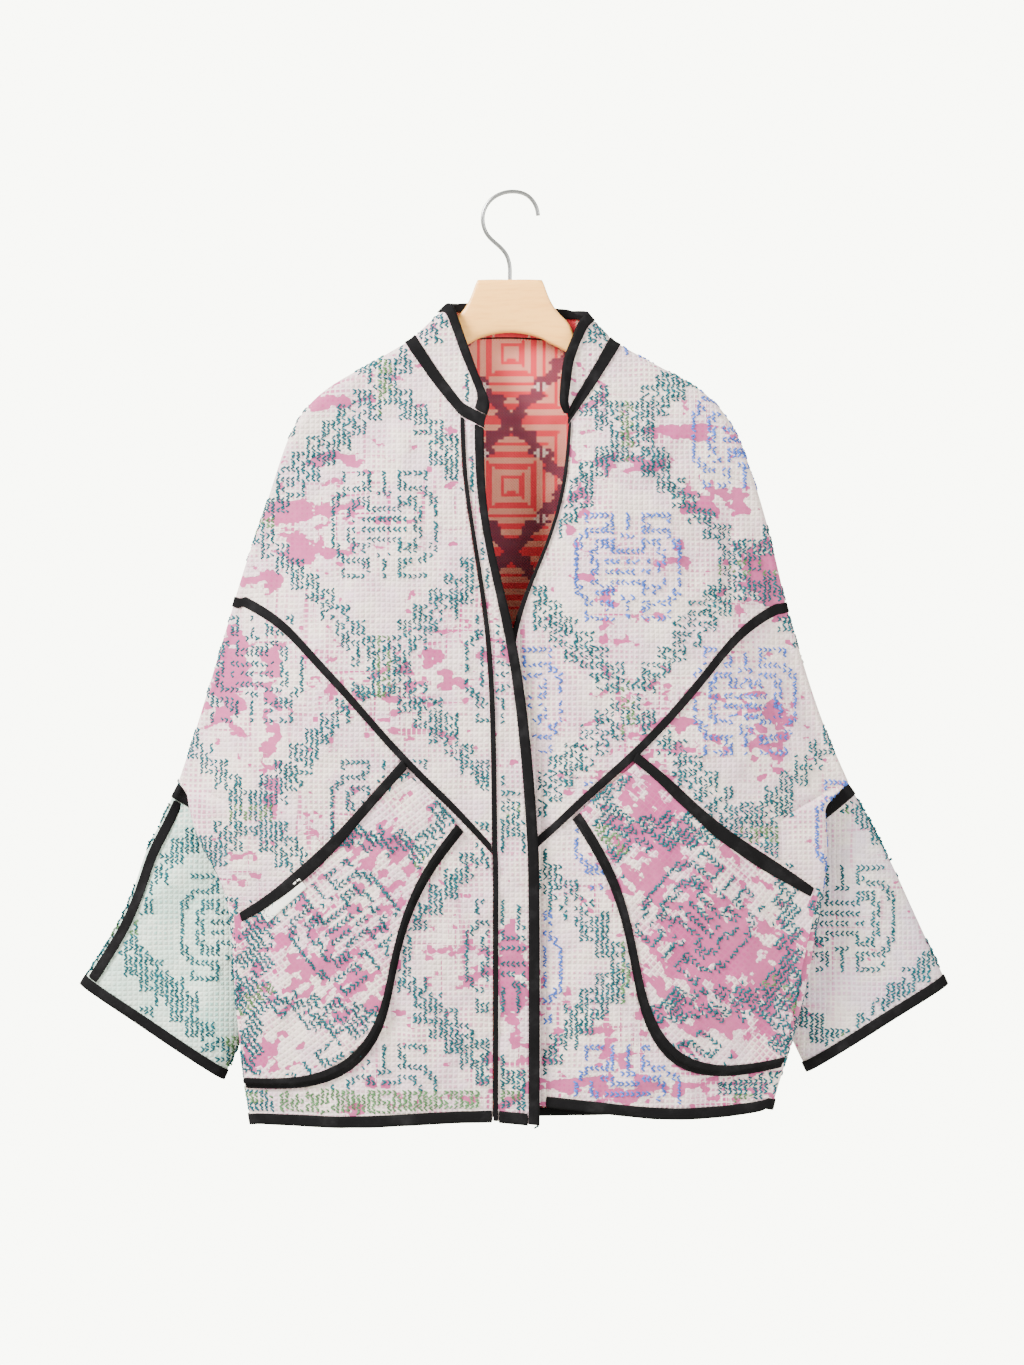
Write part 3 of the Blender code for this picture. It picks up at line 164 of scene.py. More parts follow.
# Pocket openings from their upper end, as x, z, and how much wider and longer their bindings are made
OPENINGS = {
    "pocket_opening_tape_right": ("pocket_right", ((-0.0996, -0.513), (-0.144, -0.563), (-0.162, -0.582),
                                                   (-0.202, -0.618), (-0.215, -0.629), (-0.246, -0.648))),
    "pocket_opening_tape_left": ("pocket_left", ((0.118, -0.5055), (0.1506, -0.532), (0.171, -0.553),
                                                 (0.2075, -0.5805), (0.240, -0.601), (0.276, -0.626))),
}
OPENING_WIDER = 0.8
OPENING_LONGER = 0.0065
OPENING_END = 0.012

# Lattice of stitched bands: centre x, z of one diamond and its half width and half height
LATTICES = {
    "right": (-0.112, -0.298, 0.118, 0.128),
    "left": (0.105, -0.336, 0.107, 0.119),
    "back": (0.0, -0.330, 0.112, 0.124),
    "sleeve_right": (-0.250, -0.660, 0.112, 0.122),
    "sleeve_left": (0.300, -0.652, 0.112, 0.122),
    "pocket": (0.0, 0.0, 0.108, 0.118),
}
BAND_HALF = 0.0125
CELL = 0.0046
BLOCK = 3
# The pockets are cut on the bias, turned by these angles
TURNS = {"pocket_right": math.radians(38), "pocket_left": math.radians(-42)}
# Fret with hooks, charted as the left half of each row, mirrored about its last column
FRET = (
    "..######..#", "..#....#..#", "......##..#", "..######..#", ".##......##", "##..####...",
    "#..##..####", "#..#.......", "#..##.#####", "#...#......", "#..##.#####", "#..#.......",
    "#..##..####", "##..####...", ".##......##", "..######..#", "......##..#", "..#....#..#",
    "..######..#",
)
FRET_STRETCH = 1.12
# Shares of the stitches still in place, and what turns olive near the bands' crossings
BAND_SHARE, BAND_MORE = 0.74, 0.24
FRET_SHARE = 0.93
HEM_SHARE = 0.85
CROSSING, CROSSING_SHARE = 0.05, 0.5
# Stitches: size, unevenness and lean, and the ridge of thread that each one makes
STITCH_LONG = 0.0046
STITCH_WIDE = 0.0026
STITCH_HIGH = 0.0010
STITCH_REACH = 0.0026
STITCH_LENGTHS = (0.75, 1.15)
LEAN, LEAN_JITTER = 0.62, 0.25
JITTER_U, JITTER_V = 0.0006, 0.0005
RIDGE_SUNK = 0.0003
RIDGE_BACK, RIDGE_TOP = 0.7, 0.55
RIDGE_FACES = ((0, 1, 2, 3), (0, 3, 5, 4), (1, 4, 5, 2), (0, 4, 1), (2, 5, 3))
# Thread colours by number, and each piece's panels with their lattice and the colour of their frets
THREAD_SEED = 7
THREAD_NAMES = ("teal", "blue", "olive")
TEAL, BLUE, OLIVE = 0, 1, 2
THREADS = {
    "front_threads_right": (("upper_front_right", "right", TEAL), ("lower_front_right", "right", TEAL),
                            ("placket", "right", TEAL)),
    "front_threads_left": (("upper_front_left", "left", BLUE), ("lower_front_left", "left", BLUE)),
    "back_threads": (("back_upper", "back", TEAL), ("back_lower", "back", TEAL)),
    "sleeve_threads": (("lower_sleeve_right", "sleeve_right", TEAL),
                       ("lower_sleeve_left", "sleeve_left", TEAL)),
    "pocket_threads": (("pocket_right", "pocket", TEAL), ("pocket_left", "pocket", TEAL)),
    "collar_threads": (("collar", "right", TEAL),),
}
# How near counts as under a tape, and a place in front of the jacket
TAPE_NEAR, TAPE_UNDER = 0.004, 0.0026
IN_FRONT = -0.2
AHEAD = Vector((0.0, 1.0, 0.0))
# Colours of the two lower sleeves' own finishes
MINT_CLOTH = ((0.66, 0.72, 0.62), (0.20, 0.44, 0.38), (0.34, 0.56, 0.50))
LILAC_CLOTH = ((0.66, 0.58, 0.53), (0.56, 0.46, 0.54), (0.46, 0.20, 0.34))
FLOWER = (0.86, 0.80, 0.68)
# Lining: size of a cross stitch, and the bands' and flowers' repeats in stitches
CROSS_STITCH = 0.0027
BAND_REPEAT = (40.0, 44.0)
FLOWER_REPEAT = (20.0, 22.0)
# Brightness of the plain surroundings, as seen and as they light the jacket
BACKDROP = 9.0
AMBIENT = 1.0
SKY = (0.98, 1.0, 0.87, 1.0)
# Stage: floor, camera, what the lights aim at, and each light's place, size and power
FLOOR_RADIUS, FLOOR_HEIGHT = 3.2, -2.05
CAMERA_PLACE = (0.002, -2.39, -0.439)
CAMERA_LENS = 70.0
AIM = (0.0, 0.0, -0.45)
LIGHTS = {
    "key": ((-2.1, -1.3, 1.5), 0.9, 430.0),
    "fill": ((2.2, -2.0, 0.2), 2.4, 125.0),
    "back": ((0.4, 2.4, 0.9), 2.4, 70.0),
}


def swatch(name, value, note):
    return bpy.props.FloatVectorProperty(
        name=name, description=note, subtype="COLOR", size=3, min=0.0, max=1.0, default=value)


def measure(name, value, note):
    return bpy.props.FloatProperty(
        name=name, description=note, subtype="DISTANCE", unit="LENGTH", min=0.0, default=value)


class JacketColours(bpy.types.PropertyGroup):
    """Colours of the jacket's finishes."""

    cream: swatch("Float thread", (0.78, 0.66, 0.59), "Pale thread of the quilting floats")
    lilac: swatch("Lilac thread", (0.68, 0.50, 0.56), "Cooler pale thread of the quilting floats")
    ground: swatch("Ground", (0.46, 0.10, 0.23), "Pink cloth that shows between the floats")
    patch: swatch("Patch", (0.30, 0.018, 0.118), "Bare pink cloth where the floats have worn away")
    mint: swatch("Mint", (0.52, 0.66, 0.57), "Ground of the right lower sleeve")
    teal: swatch("Teal thread", (0.0, 0.058, 0.072), "Stitches of the lattice")
    blue: swatch("Blue thread", (0.035, 0.085, 0.32), "Stitches of the left front's frets")
    olive: swatch("Olive thread", (0.055, 0.13, 0.05), "Stitches at some crossings and over the hem")
    coral: swatch("Lining", (0.66, 0.030, 0.045), "Ground of the lining")
    beige: swatch("Lining stitches", (0.66, 0.46, 0.30), "Pale cross stitches of the lining")
    navy: swatch("Lining bands", (0.012, 0.016, 0.040), "Dark cross stitches of the lining")
    tape: swatch("Tape", (0.0045, 0.0042, 0.0045), "Black cotton bias tape")
    tag: swatch("Tag", (0.80, 0.77, 0.70), "Blank woven tag")
    beech: swatch("Beech", (1.0, 0.50, 0.12), "Light wood of the hanger")
    steel: swatch("Hook", (0.30, 0.30, 0.30), "Satin wire of the hook")
    floor: swatch("Floor", (0.90, 0.90, 0.86), "Plain pale floor")


class JacketSizes(bpy.types.PropertyGroup):
    """Sizes of the jacket's fine form."""

    pitch: measure("Quilting pitch", 0.0046, "Distance between rows of quilting floats")
    stitch: measure("Stitch length", STITCH_LONG, "Length of one coloured stitch")
    crease: bpy.props.FloatProperty(
        name="Crease strength", description="Share of the hand-placed creases' height", min=0.0, max=1.5,
        default=1.0)


def colours():
    return bpy.context.scene.jacket_colours


def sizes():
    return bpy.context.scene.jacket_sizes


class Socket:
    """A shader value that is written as an ordinary expression."""

    def __init__(self, tree, socket):
        self.tree = tree
        self.socket = socket

    def math(self, operation, *others):
        links = dict(enumerate((self, *others)))
        return node(self.tree, "ShaderNodeMath", {"operation": operation}, links)

    def __add__(self, other):
        return self.math("ADD", other)

    def __sub__(self, other):
        return self.math("SUBTRACT", other)

    def __rsub__(self, other):
        return node(self.tree, "ShaderNodeMath", {"operation": "SUBTRACT"}, {0: other, 1: self})

    def __mul__(self, other):
        return self.math("MULTIPLY", other)

    def __truediv__(self, other):
        return self.math("DIVIDE", other)

    __radd__ = __add__
    __rmul__ = __mul__

    def above(self, low, high):
        """0 below low, 1 above high and smooth between them."""
        return node(self.tree, "ShaderNodeMapRange", {"interpolation_type": "SMOOTHSTEP"},
                    {"Value": self, "From Min": low, "From Max": high})


def node(tree, kind, settings=None, links=None, output=0):
    """Adds a node with its settings and the values or links of its inputs, and gives one output."""
    made = tree.nodes.new(kind)
    for name, value in (settings or {}).items():
        setattr(made, name, value)
    for name, value in (links or {}).items():
        target = made.inputs[name]
        if isinstance(value, Socket):
            tree.links.new(value.socket, target)
        elif hasattr(value, "__len__") and len(value) == 3 and target.type == "RGBA":
            target.default_value = (*value, 1.0)
        else:
            target.default_value = value
    return Socket(tree, made.outputs[output])


def blend_colours(tree, share, low, high):
    links = {0: share, 6: low, 7: high}
    return node(tree, "ShaderNodeMix", {"data_type": "RGBA"}, links, 2)


def noise(tree, place, scale, detail=2.0, rough=0.5, stretch=(1, 1, 1), shift=(0, 0, 0)):
    if stretch != (1, 1, 1) or shift != (0, 0, 0):
        place = node(tree, "ShaderNodeMapping", {}, {"Vector": place, "Location": shift, "Scale": stretch})
    links = {"Vector": place, "Scale": scale, "Detail": detail, "Roughness": rough}
    return node(tree, "ShaderNodeTexNoise", {}, links)


def object_place(tree):
    return node(tree, "ShaderNodeTexCoord", output=3)


def flat_place(tree):
    """Place on the cloth as it was cut, in metres."""
    return node(tree, "ShaderNodeUVMap", {"uv_map": "flat"})


def parts_of(tree, place):
    """The three parts of a place, as values."""
    split = node(tree, "ShaderNodeSeparateXYZ", {}, {0: place}).socket.node
    return [Socket(tree, output) for output in split.outputs]


def shaded(colour, gain, lift=0.0):
    """A colour made darker or lighter."""
    return tuple(min(1.0, part * gain + lift) for part in colour)


def finish_material(name, build):
    """A material whose shader is set by a function of its tree and Principled shader."""
    if name in bpy.data.materials:
        return bpy.data.materials[name]
    made = bpy.data.materials.new(name)
    made.use_nodes = True
    tree = made.node_tree
    shader = tree.nodes["Principled BSDF"]
    build(tree, shader)
    return made


def link(tree, value, shader, name):
    tree.links.new(value.socket, shader.inputs[name])


def set_constants(shader, values):
    for name, value in values.items():
        shader.inputs[name].default_value = value


def bump(tree, height, distance, strength=1.0, before=None):
    links = {"Height": height, "Distance": distance, "Strength": strength}
    if before:
        links["Normal"] = before
    return node(tree, "ShaderNodeBump", {}, links)


def worn_spots(tree):
    """Share that is added where the floats are worn through at the listed places."""
    place = object_place(tree)
    total = None
    for x, z, wide, tall in WORN:
        scale, shift = (1.0 / wide, 0.0, 1.0 / tall), (-x / wide, 0.0, -z / tall)
        near = node(tree, "ShaderNodeMapping", {}, {"Vector": place, "Location": shift, "Scale": scale})
        away = node(tree, "ShaderNodeVectorMath", {"operation": "LENGTH"}, {0: near}, 1)
        spot = (SPOT_REACH - away).above(0.0, SPOT_FADE) * WORN_SHARE
        total = spot if total is None else total.math("MAXIMUM", spot)
    return total


def cloth_material(name, pale, cool, ground, patch, bare, worn, strokes):
    """Hand-quilted cloth: pale thread floats in a grid over pink cloth, worn through in patches."""

    def build(tree, shader):
        pitch = sizes().pitch
        place = flat_place(tree)
        sway = noise(tree, place, 38.0, 2.0)
        u, v, _ = parts_of(tree, place)
        row = (v + (sway - 0.5) * 0.0035) / pitch
        column = (u + (sway - 0.5) * 0.0030) / pitch
        across = (column.math("FRACT") - 0.5).math("ABSOLUTE")
        down = (row.math("FRACT") - 0.5).math("ABSOLUTE")
        cell = node(tree, "ShaderNodeCombineXYZ", {}, {0: column.math("FLOOR"), 1: row.math("FLOOR")})
        chance = node(tree, "ShaderNodeTexWhiteNoise", {"noise_dimensions": "2D"}, {"Vector": cell})
        wide = noise(tree, place, 9.0, 3.0, 0.6)
        along = noise(tree, place, 1.0, 2.0, 0.5, (190.0, 11.0, 1.0), (3.1, 0.7, 0.0))
        level = noise(tree, place, 1.0, 2.0, 0.5, (11.0, 190.0, 1.0), (0.4, 5.2, 0.0))
        columns, rows = along.above(0.60, 0.68), level.above(0.60, 0.68)
        edge = across.math("MAXIMUM", down) * 2.0
        hole = 1.0 - edge
        stretched = columns.math("MAXIMUM", rows)
        thin = wide.above(0.35, 0.70) * 0.30 + chance * 0.22 + stretched * 0.25 + 0.16 + bare
        dots = (thin - edge).above(-0.16, 0.16)
        threads = noise(tree, place, 1.0, 2.0, 0.6, (2600.0, 900.0, 1.0))
        mottled = noise(tree, place, 26.0, 3.0, 0.65)
        pale_mix = blend_colours(tree, mottled.above(0.38, 0.62), pale, cool)
        pale_mix = blend_colours(tree, threads * 0.30 + chance * 0.30, pale_mix, shaded(pale, 0.62))
        faint = noise(tree, place, 21.0, 2.0, 0.6, (1, 1, 1), (7.7, 0.2, 0.0)).above(0.40, 0.62)
        cloth = blend_colours(tree, dots * (0.20 + faint * 0.56), pale_mix, ground)
        blob_noise = noise(tree, place, 58.0, 2.0, 0.5, (1.0, 1.45, 1.0), (1.7, 2.3, 0.0))
        zone = noise(tree, place, 8.5, 2.0, 0.5, (1, 1, 1), (4.4, 1.9, 0.0))
        ragged = (chance - 0.5) * 0.10 + worn_spots(tree) * strokes - 1.06 + worn
        blobs = (blob_noise + zone * 0.80 + ragged).above(0.0, 0.030)
        ladder = columns * zone.above(0.42, 0.56) * (0.42 - down).above(0.0, 0.10)
        dashes = rows * zone.above(0.46, 0.58) * (0.44 - across).above(0.0, 0.10)
        blobs = blobs.math("MAXIMUM", ladder.math("MAXIMUM", dashes) * strokes)
        fade = noise(tree, place, 140.0, 3.0, 0.6)
        patches = blend_colours(tree, fade * 0.50, patch, shaded(patch, 1.6, 0.03))
        link(tree, blend_colours(tree, blobs * 0.92, cloth, patches), shader, "Base Color")
        link(tree, 0.90 - blobs * 0.10, shader, "Roughness")
        set_constants(shader, {"Specular IOR Level": 0.25, "Sheen Weight": 0.12, "Sheen Roughness": 0.6})
        floats = hole.above(0.0, 0.8) * (1.0 - blobs) + threads * 0.18
        puff = noise(tree, place, 95.0, 2.0)
        normal = bump(tree, puff, 0.0012, 0.55)
        link(tree, bump(tree, floats, 0.0007, 0.85, normal), shader, "Normal")

    return finish_material(name, build)


def lining_material():
    """Lining: coral cloth under pale cross stitch, with dark stepped bands and small flowers."""

    def build(tree, shader):
        place = flat_place(tree)
        u, v, _ = parts_of(tree, place)
        column = (u / CROSS_STITCH).math("FLOOR")
        row = (v / CROSS_STITCH).math("FLOOR")
        across = ((u / CROSS_STITCH).math("FRACT") - 0.5).math("ABSOLUTE")
        down = ((v / CROSS_STITCH).math("FRACT") - 0.5).math("ABSOLUTE")
        cross = (across - down).math("ABSOLUTE")
        stitch = 1.0 - cross.above(0.08, 0.20)
        fold_u = ((column / BAND_REPEAT[0]).math("FRACT") - 0.5).math("ABSOLUTE") * 2.0
        fold_v = ((row / BAND_REPEAT[1] + 0.2).math("FRACT") - 0.5).math("ABSOLUTE") * 2.0
        ring = fold_u + fold_v
        tooth = ((row / 6.0).math("FRACT") * 3.0).math("FLOOR") * 0.055
        dark = ((ring - 1.0).math("ABSOLUTE") - tooth).math("LESS_THAN", 0.10)
        bars = (fold_v * 6.0).math("FRACT").math("LESS_THAN", 0.42)
        posts = (fold_u * 5.0).math("FRACT").math("LESS_THAN", 0.42)
        turn = (fold_u - fold_v).math("GREATER_THAN", 0.0)
        gaps = bars * turn + posts * (1.0 - turn)
        colour = blend_colours(tree, stitch * (1.0 - gaps), tuple(colours().coral), tuple(colours().beige))
        colour = blend_colours(tree, dark * (0.55 + stitch * 0.45), colour, tuple(colours().navy))
        petal_u = ((column / FLOWER_REPEAT[0]).math("FRACT") - 0.5).math("ABSOLUTE")
        petal_v = ((row / FLOWER_REPEAT[1] + 0.4).math("FRACT") - 0.5).math("ABSOLUTE")
        flower = (petal_u + petal_v).math("LESS_THAN", 0.11) * petal_u.math("GREATER_THAN", 0.02)
        colour = blend_colours(tree, flower * stitch, colour, FLOWER)
        link(tree, colour, shader, "Base Color")
        set_constants(shader, {"Roughness": 0.88})
        link(tree, bump(tree, stitch + noise(tree, place, 60.0) * 1.2, 0.0007, 0.8), shader, "Normal")

    return finish_material("lining_cross_stitch", build)


def thread_material(name, colour):
    """Matt cotton thread, lighter where it is worn."""

    def build(tree, shader):
        place = object_place(tree)
        worn = noise(tree, place, 120.0).above(0.35, 0.75) * 0.5
        link(tree, blend_colours(tree, worn, colour, shaded(colour, 2.4, 0.012)), shader, "Base Color")
        set_constants(shader, {"Roughness": 0.72, "Specular IOR Level": 0.25})
        link(tree, bump(tree, noise(tree, place, 2600.0), 0.0003, 0.5), shader, "Normal")

    return finish_material(name, build)


def thread_materials():
    """The threads in the order of their colour numbers."""
    return [thread_material(name + "_thread", tuple(getattr(colours(), name))) for name in THREAD_NAMES]


def tape_material():
    """Black cotton tape with a fine weave, worn a little lighter in places."""

    def build(tree, shader):
        place = object_place(tree)
        weave = noise(tree, place, 2300.0, 2.0, 0.7)
        worn = noise(tree, place, 55.0, 3.0, 0.6)
        colour = tuple(colours().tape)
        share = worn.above(0.45, 0.85) * 0.55 + weave * 0.18
        link(tree, blend_colours(tree, share, colour, shaded(colour, 3.2, 0.004)), shader, "Base Color")
        set_constants(shader, {"Roughness": 0.86, "Specular IOR Level": 0.03})
        normal = bump(tree, noise(tree, place, 190.0), 0.0006, 0.5)
        link(tree, bump(tree, weave, 0.0002, 0.6, normal), shader, "Normal")

    return finish_material("black_cotton_tape", build)


def tag_material():
    """Pale woven tag with nothing on it."""

    def build(tree, shader):
        weave = noise(tree, object_place(tree), 1500.0)
        shade = tuple(colours().tag)
        link(tree, blend_colours(tree, weave * 0.35, shade, shaded(shade, 0.8)), shader, "Base Color")
        set_constants(shader, {"Roughness": 0.8})
        link(tree, bump(tree, weave, 0.0002, 0.6), shader, "Normal")

    return finish_material("woven_tag", build)


def beech_material():
    """Clear-lacquered light wood, with grain along the arms and short flecks."""

    def build(tree, shader):
        place = object_place(tree)
        bend = noise(tree, place, 9.0)
        x, y, z = parts_of(tree, place)
        lines = node(tree, "ShaderNodeCombineXYZ", {}, {0: x * 0.10, 1: y, 2: z + bend * 0.006})
        grain = noise(tree, lines, 420.0, 3.0, 0.6)
        flecks = noise(tree, lines, 1500.0, 1.0)
        shade = tuple(colours().beech)
        dark = tuple(part * gain for part, gain in zip(shade, (0.86, 0.72, 0.56)))
        colour = blend_colours(tree, grain.above(0.40, 0.75) * 0.60, shade, dark)
        colour = blend_colours(tree, flecks.above(0.66, 0.76) * 0.25, colour, shaded(shade, 0.6))
        link(tree, colour, shader, "Base Color")
        set_constants(shader, {"Coat Weight": 0.25, "Coat Roughness": 0.35})
        link(tree, 0.42 + grain * 0.12, shader, "Roughness")
        link(tree, bump(tree, grain, 0.0002, 0.25), shader, "Normal")

    return finish_material("beech", build)


def wire_material():
    """Satin wire of the hook."""

    def build(tree, shader):
        fine = noise(tree, object_place(tree), 900.0)
        shade = tuple(colours().steel)
        link(tree, blend_colours(tree, fine * 0.3, shade, shaded(shade, 0.8)), shader, "Base Color")
        set_constants(shader, {"Metallic": 1.0})
        link(tree, 0.30 + fine * 0.12, shader, "Roughness")

    return finish_material("satin_wire", build)


def floor_material():
    """Plain pale floor."""

    def build(tree, shader):
        grain = noise(tree, object_place(tree), 40.0)
        shade = tuple(colours().floor)
        link(tree, blend_colours(tree, grain * 0.1, shade, shaded(shade, 0.97)), shader, "Base Color")
        set_constants(shader, {"Roughness": 0.9})

    return finish_material("plain_floor", build)


def fine_copy(name, source, levels, crease=1.0):
    """A finer copy of a node's wall, with its skin's ends kept sharp. Gives the piece."""
    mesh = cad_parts[source].data.copy()
    mesh.materials.clear()
    piece = bpy.data.objects.new(name, mesh)
    bpy.context.scene.collection.objects.link(piece)
    shape = bmesh.new()
    shape.from_mesh(mesh)
    bmesh.ops.remove_doubles(shape, verts=shape.verts, dist=MERGE)
    bmesh.ops.join_triangles(shape, faces=shape.faces, angle_face_threshold=JOIN_FACES,
                             angle_shape_threshold=JOIN_SHAPE)
    values = shape.edges.layers.float
    layer = values.get("crease_edge") or values.new("crease_edge")
    for edge in shape.edges:
        if len(edge.link_faces) == 2 and edge.calc_face_angle(0.0) > SKIN_TURN:
            edge[layer] = crease
    shape.to_mesh(mesh)
    shape.free()
    if "custom_normal" in mesh.attributes:
        mesh.attributes.remove(mesh.attributes["custom_normal"])
    bpy.ops.object.select_all(action="DESELECT")
    bpy.context.view_layer.objects.active = piece
    piece.select_set(True)
    finer = piece.modifiers.new("finer", "SUBSURF")
    finer.levels = levels
    finer.render_levels = levels
    bpy.ops.object.modifier_apply(modifier=finer.name)
    bpy.ops.object.shade_smooth()
    return piece


def mark_skins(piece, facing):
    """Puts the wall's plain inner skin in the second material slot. Tells which faces it has."""
    mesh = piece.data
    middle = sum((vertex.co for vertex in mesh.vertices), Vector()) / len(mesh.vertices)
    shape = bmesh.new()
    shape.from_mesh(mesh)
    shape.faces.ensure_lookup_table()
    skin = [-1] * len(shape.faces)
    votes = []
    for start in shape.faces:
        if skin[start.index] >= 0:
            continue
        skin[start.index] = len(votes)
        waiting = [start]
        vote = 0.0
        while waiting:
            face = waiting.pop()
            out = Vector((0.0, facing, 0.0)) if facing else face.calc_center_median() - middle
            vote += face.calc_area() * (out.x * face.normal.x + out.y * face.normal.y)
            for edge in face.edges:
                if edge.calc_face_angle(0.0) >= SAME_SKIN:
                    continue
                for other in edge.link_faces:
                    if skin[other.index] < 0:
                        skin[other.index] = len(votes)
                        waiting.append(other)
        votes.append(vote)
    shape.free()
    inner = np.array([votes[number] < 0 for number in skin])
    mesh.polygons.foreach_set("material_index", inner.astype(np.int32))
    return inner


def vertex_arrays(mesh):
    places = np.empty(len(mesh.vertices) * 3)
    mesh.vertices.foreach_get("co", places)
    normals = np.empty(len(mesh.vertices) * 3)
    mesh.vertex_normals.foreach_get("vector", normals)
    return places.reshape(-1, 3), normals.reshape(-1, 3)


def move_vertices(mesh, places):
    mesh.vertices.foreach_set("co", places.ravel())
    mesh.update()


def surface_of(source):
    """A search tree of a node's solid."""
    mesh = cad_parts[source].data
    faces = [tuple(face.vertices) for face in mesh.polygons]
    return BVHTree.FromPolygons([vertex.co for vertex in mesh.vertices], faces)


def seen_in_front(tree, x, z):
    """Where a line of sight from the front first meets a solid, or None."""
    return tree.ray_cast(Vector((x, IN_FRONT, z)), AHEAD)[0]


def smooth(share):
    share = np.clip(share, 0.0, 1.0)
    return share * share * (3.0 - 2.0 * share)


def waves(x, z, size, seed):
    """Uneven height from about -1 to 1, from waves that cross at odd angles."""
    total = np.zeros_like(x)
    for step in range(WAVE_COUNT):
        angle = seed + step * WAVE_TURN
        reach = size * (0.8 + 0.11 * step)
        run = x * math.cos(angle) + z * math.sin(angle)
        total += np.sin(run * 2.0 * math.pi / reach + seed * 3.0 + step)
    return total / 3.2


def crease_height(creases, x, z):
    """Height of the creases at each place: bowed lines that fade at both ends."""
    height = np.zeros_like(x)
    for x0, z0, x1, z1, width, depth in creases:
        run = np.array((x1 - x0, z1 - z0))
        long = math.hypot(*run)
        share = ((x - x0) * run[0] + (z - z0) * run[1]) / long ** 2
        bow = CREASE_BOW * np.sin(share * 5.0 + x0 * 40.0)
        across = (((x - x0) * run[1] - (z - z0) * run[0]) / long + bow) / (width / 2)
        height += depth * smooth(1.25 - np.abs(share - 0.5) * 2.5) * np.exp(-across * across)
    return height


def half_widths():
    """Half width of the folded body at each height, from the front panels, for each side."""
    heights = np.arange(HEIGHT_LOW, HEIGHT_TOP, HEIGHT_STEP)
    table = {}
    for side, names in SIDE_PANELS.items():
        reach = np.zeros(len(heights))
        for name in names:
            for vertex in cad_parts[name].data.vertices:
                slot = round((vertex.co.z - HEIGHT_LOW) / HEIGHT_STEP)
                for near in range(max(slot - 1, 0), min(slot + 3, len(heights))):
                    reach[near] = max(reach[near], vertex.co.x * side)
        table[side] = reach
    return heights, table


HEIGHTS, REACHES = half_widths()


def edge_fade(x, z):
    """0 at the folded edge of the body, rising to 1 further in."""
    right = np.interp(z, HEIGHTS, REACHES[-1])
    left = np.interp(z, HEIGHTS, REACHES[1])
    inside = np.where(x < 0, right + x, left - x)
    below = smooth((SHOULDER_TOP - z) / SHOULDER_FADE + (np.abs(x) > NECK_SIDE))
    return smooth((inside - EDGE_START) / EDGE_FADE) * below


def settle(piece, facing):
    """Lays the creases and small waves of the quilting into a piece of the body or a sleeve."""
    places, _ = vertex_arrays(piece.data)
    x, z = places[:, 0].copy(), places[:, 2].copy()
    strength = sizes().crease * CREASE_GAIN
    if facing:
        creases = FRONT_CREASES if facing < 0 else BACK_CREASES
        height = crease_height(creases, x, z) * strength
        for number, (size, tall) in enumerate(WAVE_SIZES):
            height += waves(x, z, size, WAVE_SEED + number + facing) * tall
        places[:, 1] += facing * height * edge_fade(x, z)
    else:
        places[:, 1] += crease_height(SLEEVE_CREASES, x, z) * strength
    move_vertices(piece.data, places)


def reach_up(piece, outer, inner):
    """Draws the upper edge of a sleeve's band up to the end of the upper sleeve."""
    places, _ = vertex_arrays(piece.data)
    run = np.array(inner) - np.array(outer)
    up = np.array((-run[1], run[0])) * np.sign(run[0]) / np.linalg.norm(run)
    away = places[:, (0, 2)] - np.array(outer)
    share = np.clip(away @ run / (run @ run), 0.0, 1.0)
    near_top = smooth((away @ up + BAND_TOP) / BAND_FADE)
    reach = BAND_REACH[0] * (1.0 - share) + BAND_REACH[1] * share
    places[:, 0] += up[0] * reach * near_top
    places[:, 2] += up[1] * reach * near_top
    move_vertices(piece.data, places)


def nearest_run(place, points):
    """How far a place lies from the nearest stretch of a line, as a vector, and that stretch."""
    found = []
    for start, end in zip(points, points[1:]):
        run = end - start
        share = min(max((place - start).dot(run) / run.length_squared, 0.0), 1.0)
        found.append((place - (start + run * share), run))
    return min(found, key=lambda item: item[0].length)


def widen(piece, pocket, line):
    """Widens the binding of a pocket's opening over the pocket and lengthens its upper end."""
    tree = surface_of(pocket)
    points = [Vector(point) for point in line]
    first = (points[0] - points[1]).normalized()
    for vertex in piece.data.vertices:
        place = Vector((vertex.co.x, vertex.co.z))
        away, run = nearest_run(place, points)
        into = Vector((run.y, -run.x)).normalized()
        if into.y > 0:
            into = -into
        near = 1.0 - min((place - points[0]).length / OPENING_END, 1.0)
        goal = place + into * (max(away.dot(into), 0.0) * OPENING_WIDER) + first * (OPENING_LONGER * near)
        before, after = seen_in_front(tree, *place), seen_in_front(tree, *goal)
        if before and after:
            vertex.co.y += after.y - before.y
        vertex.co.x, vertex.co.z = goal
    piece.data.update()


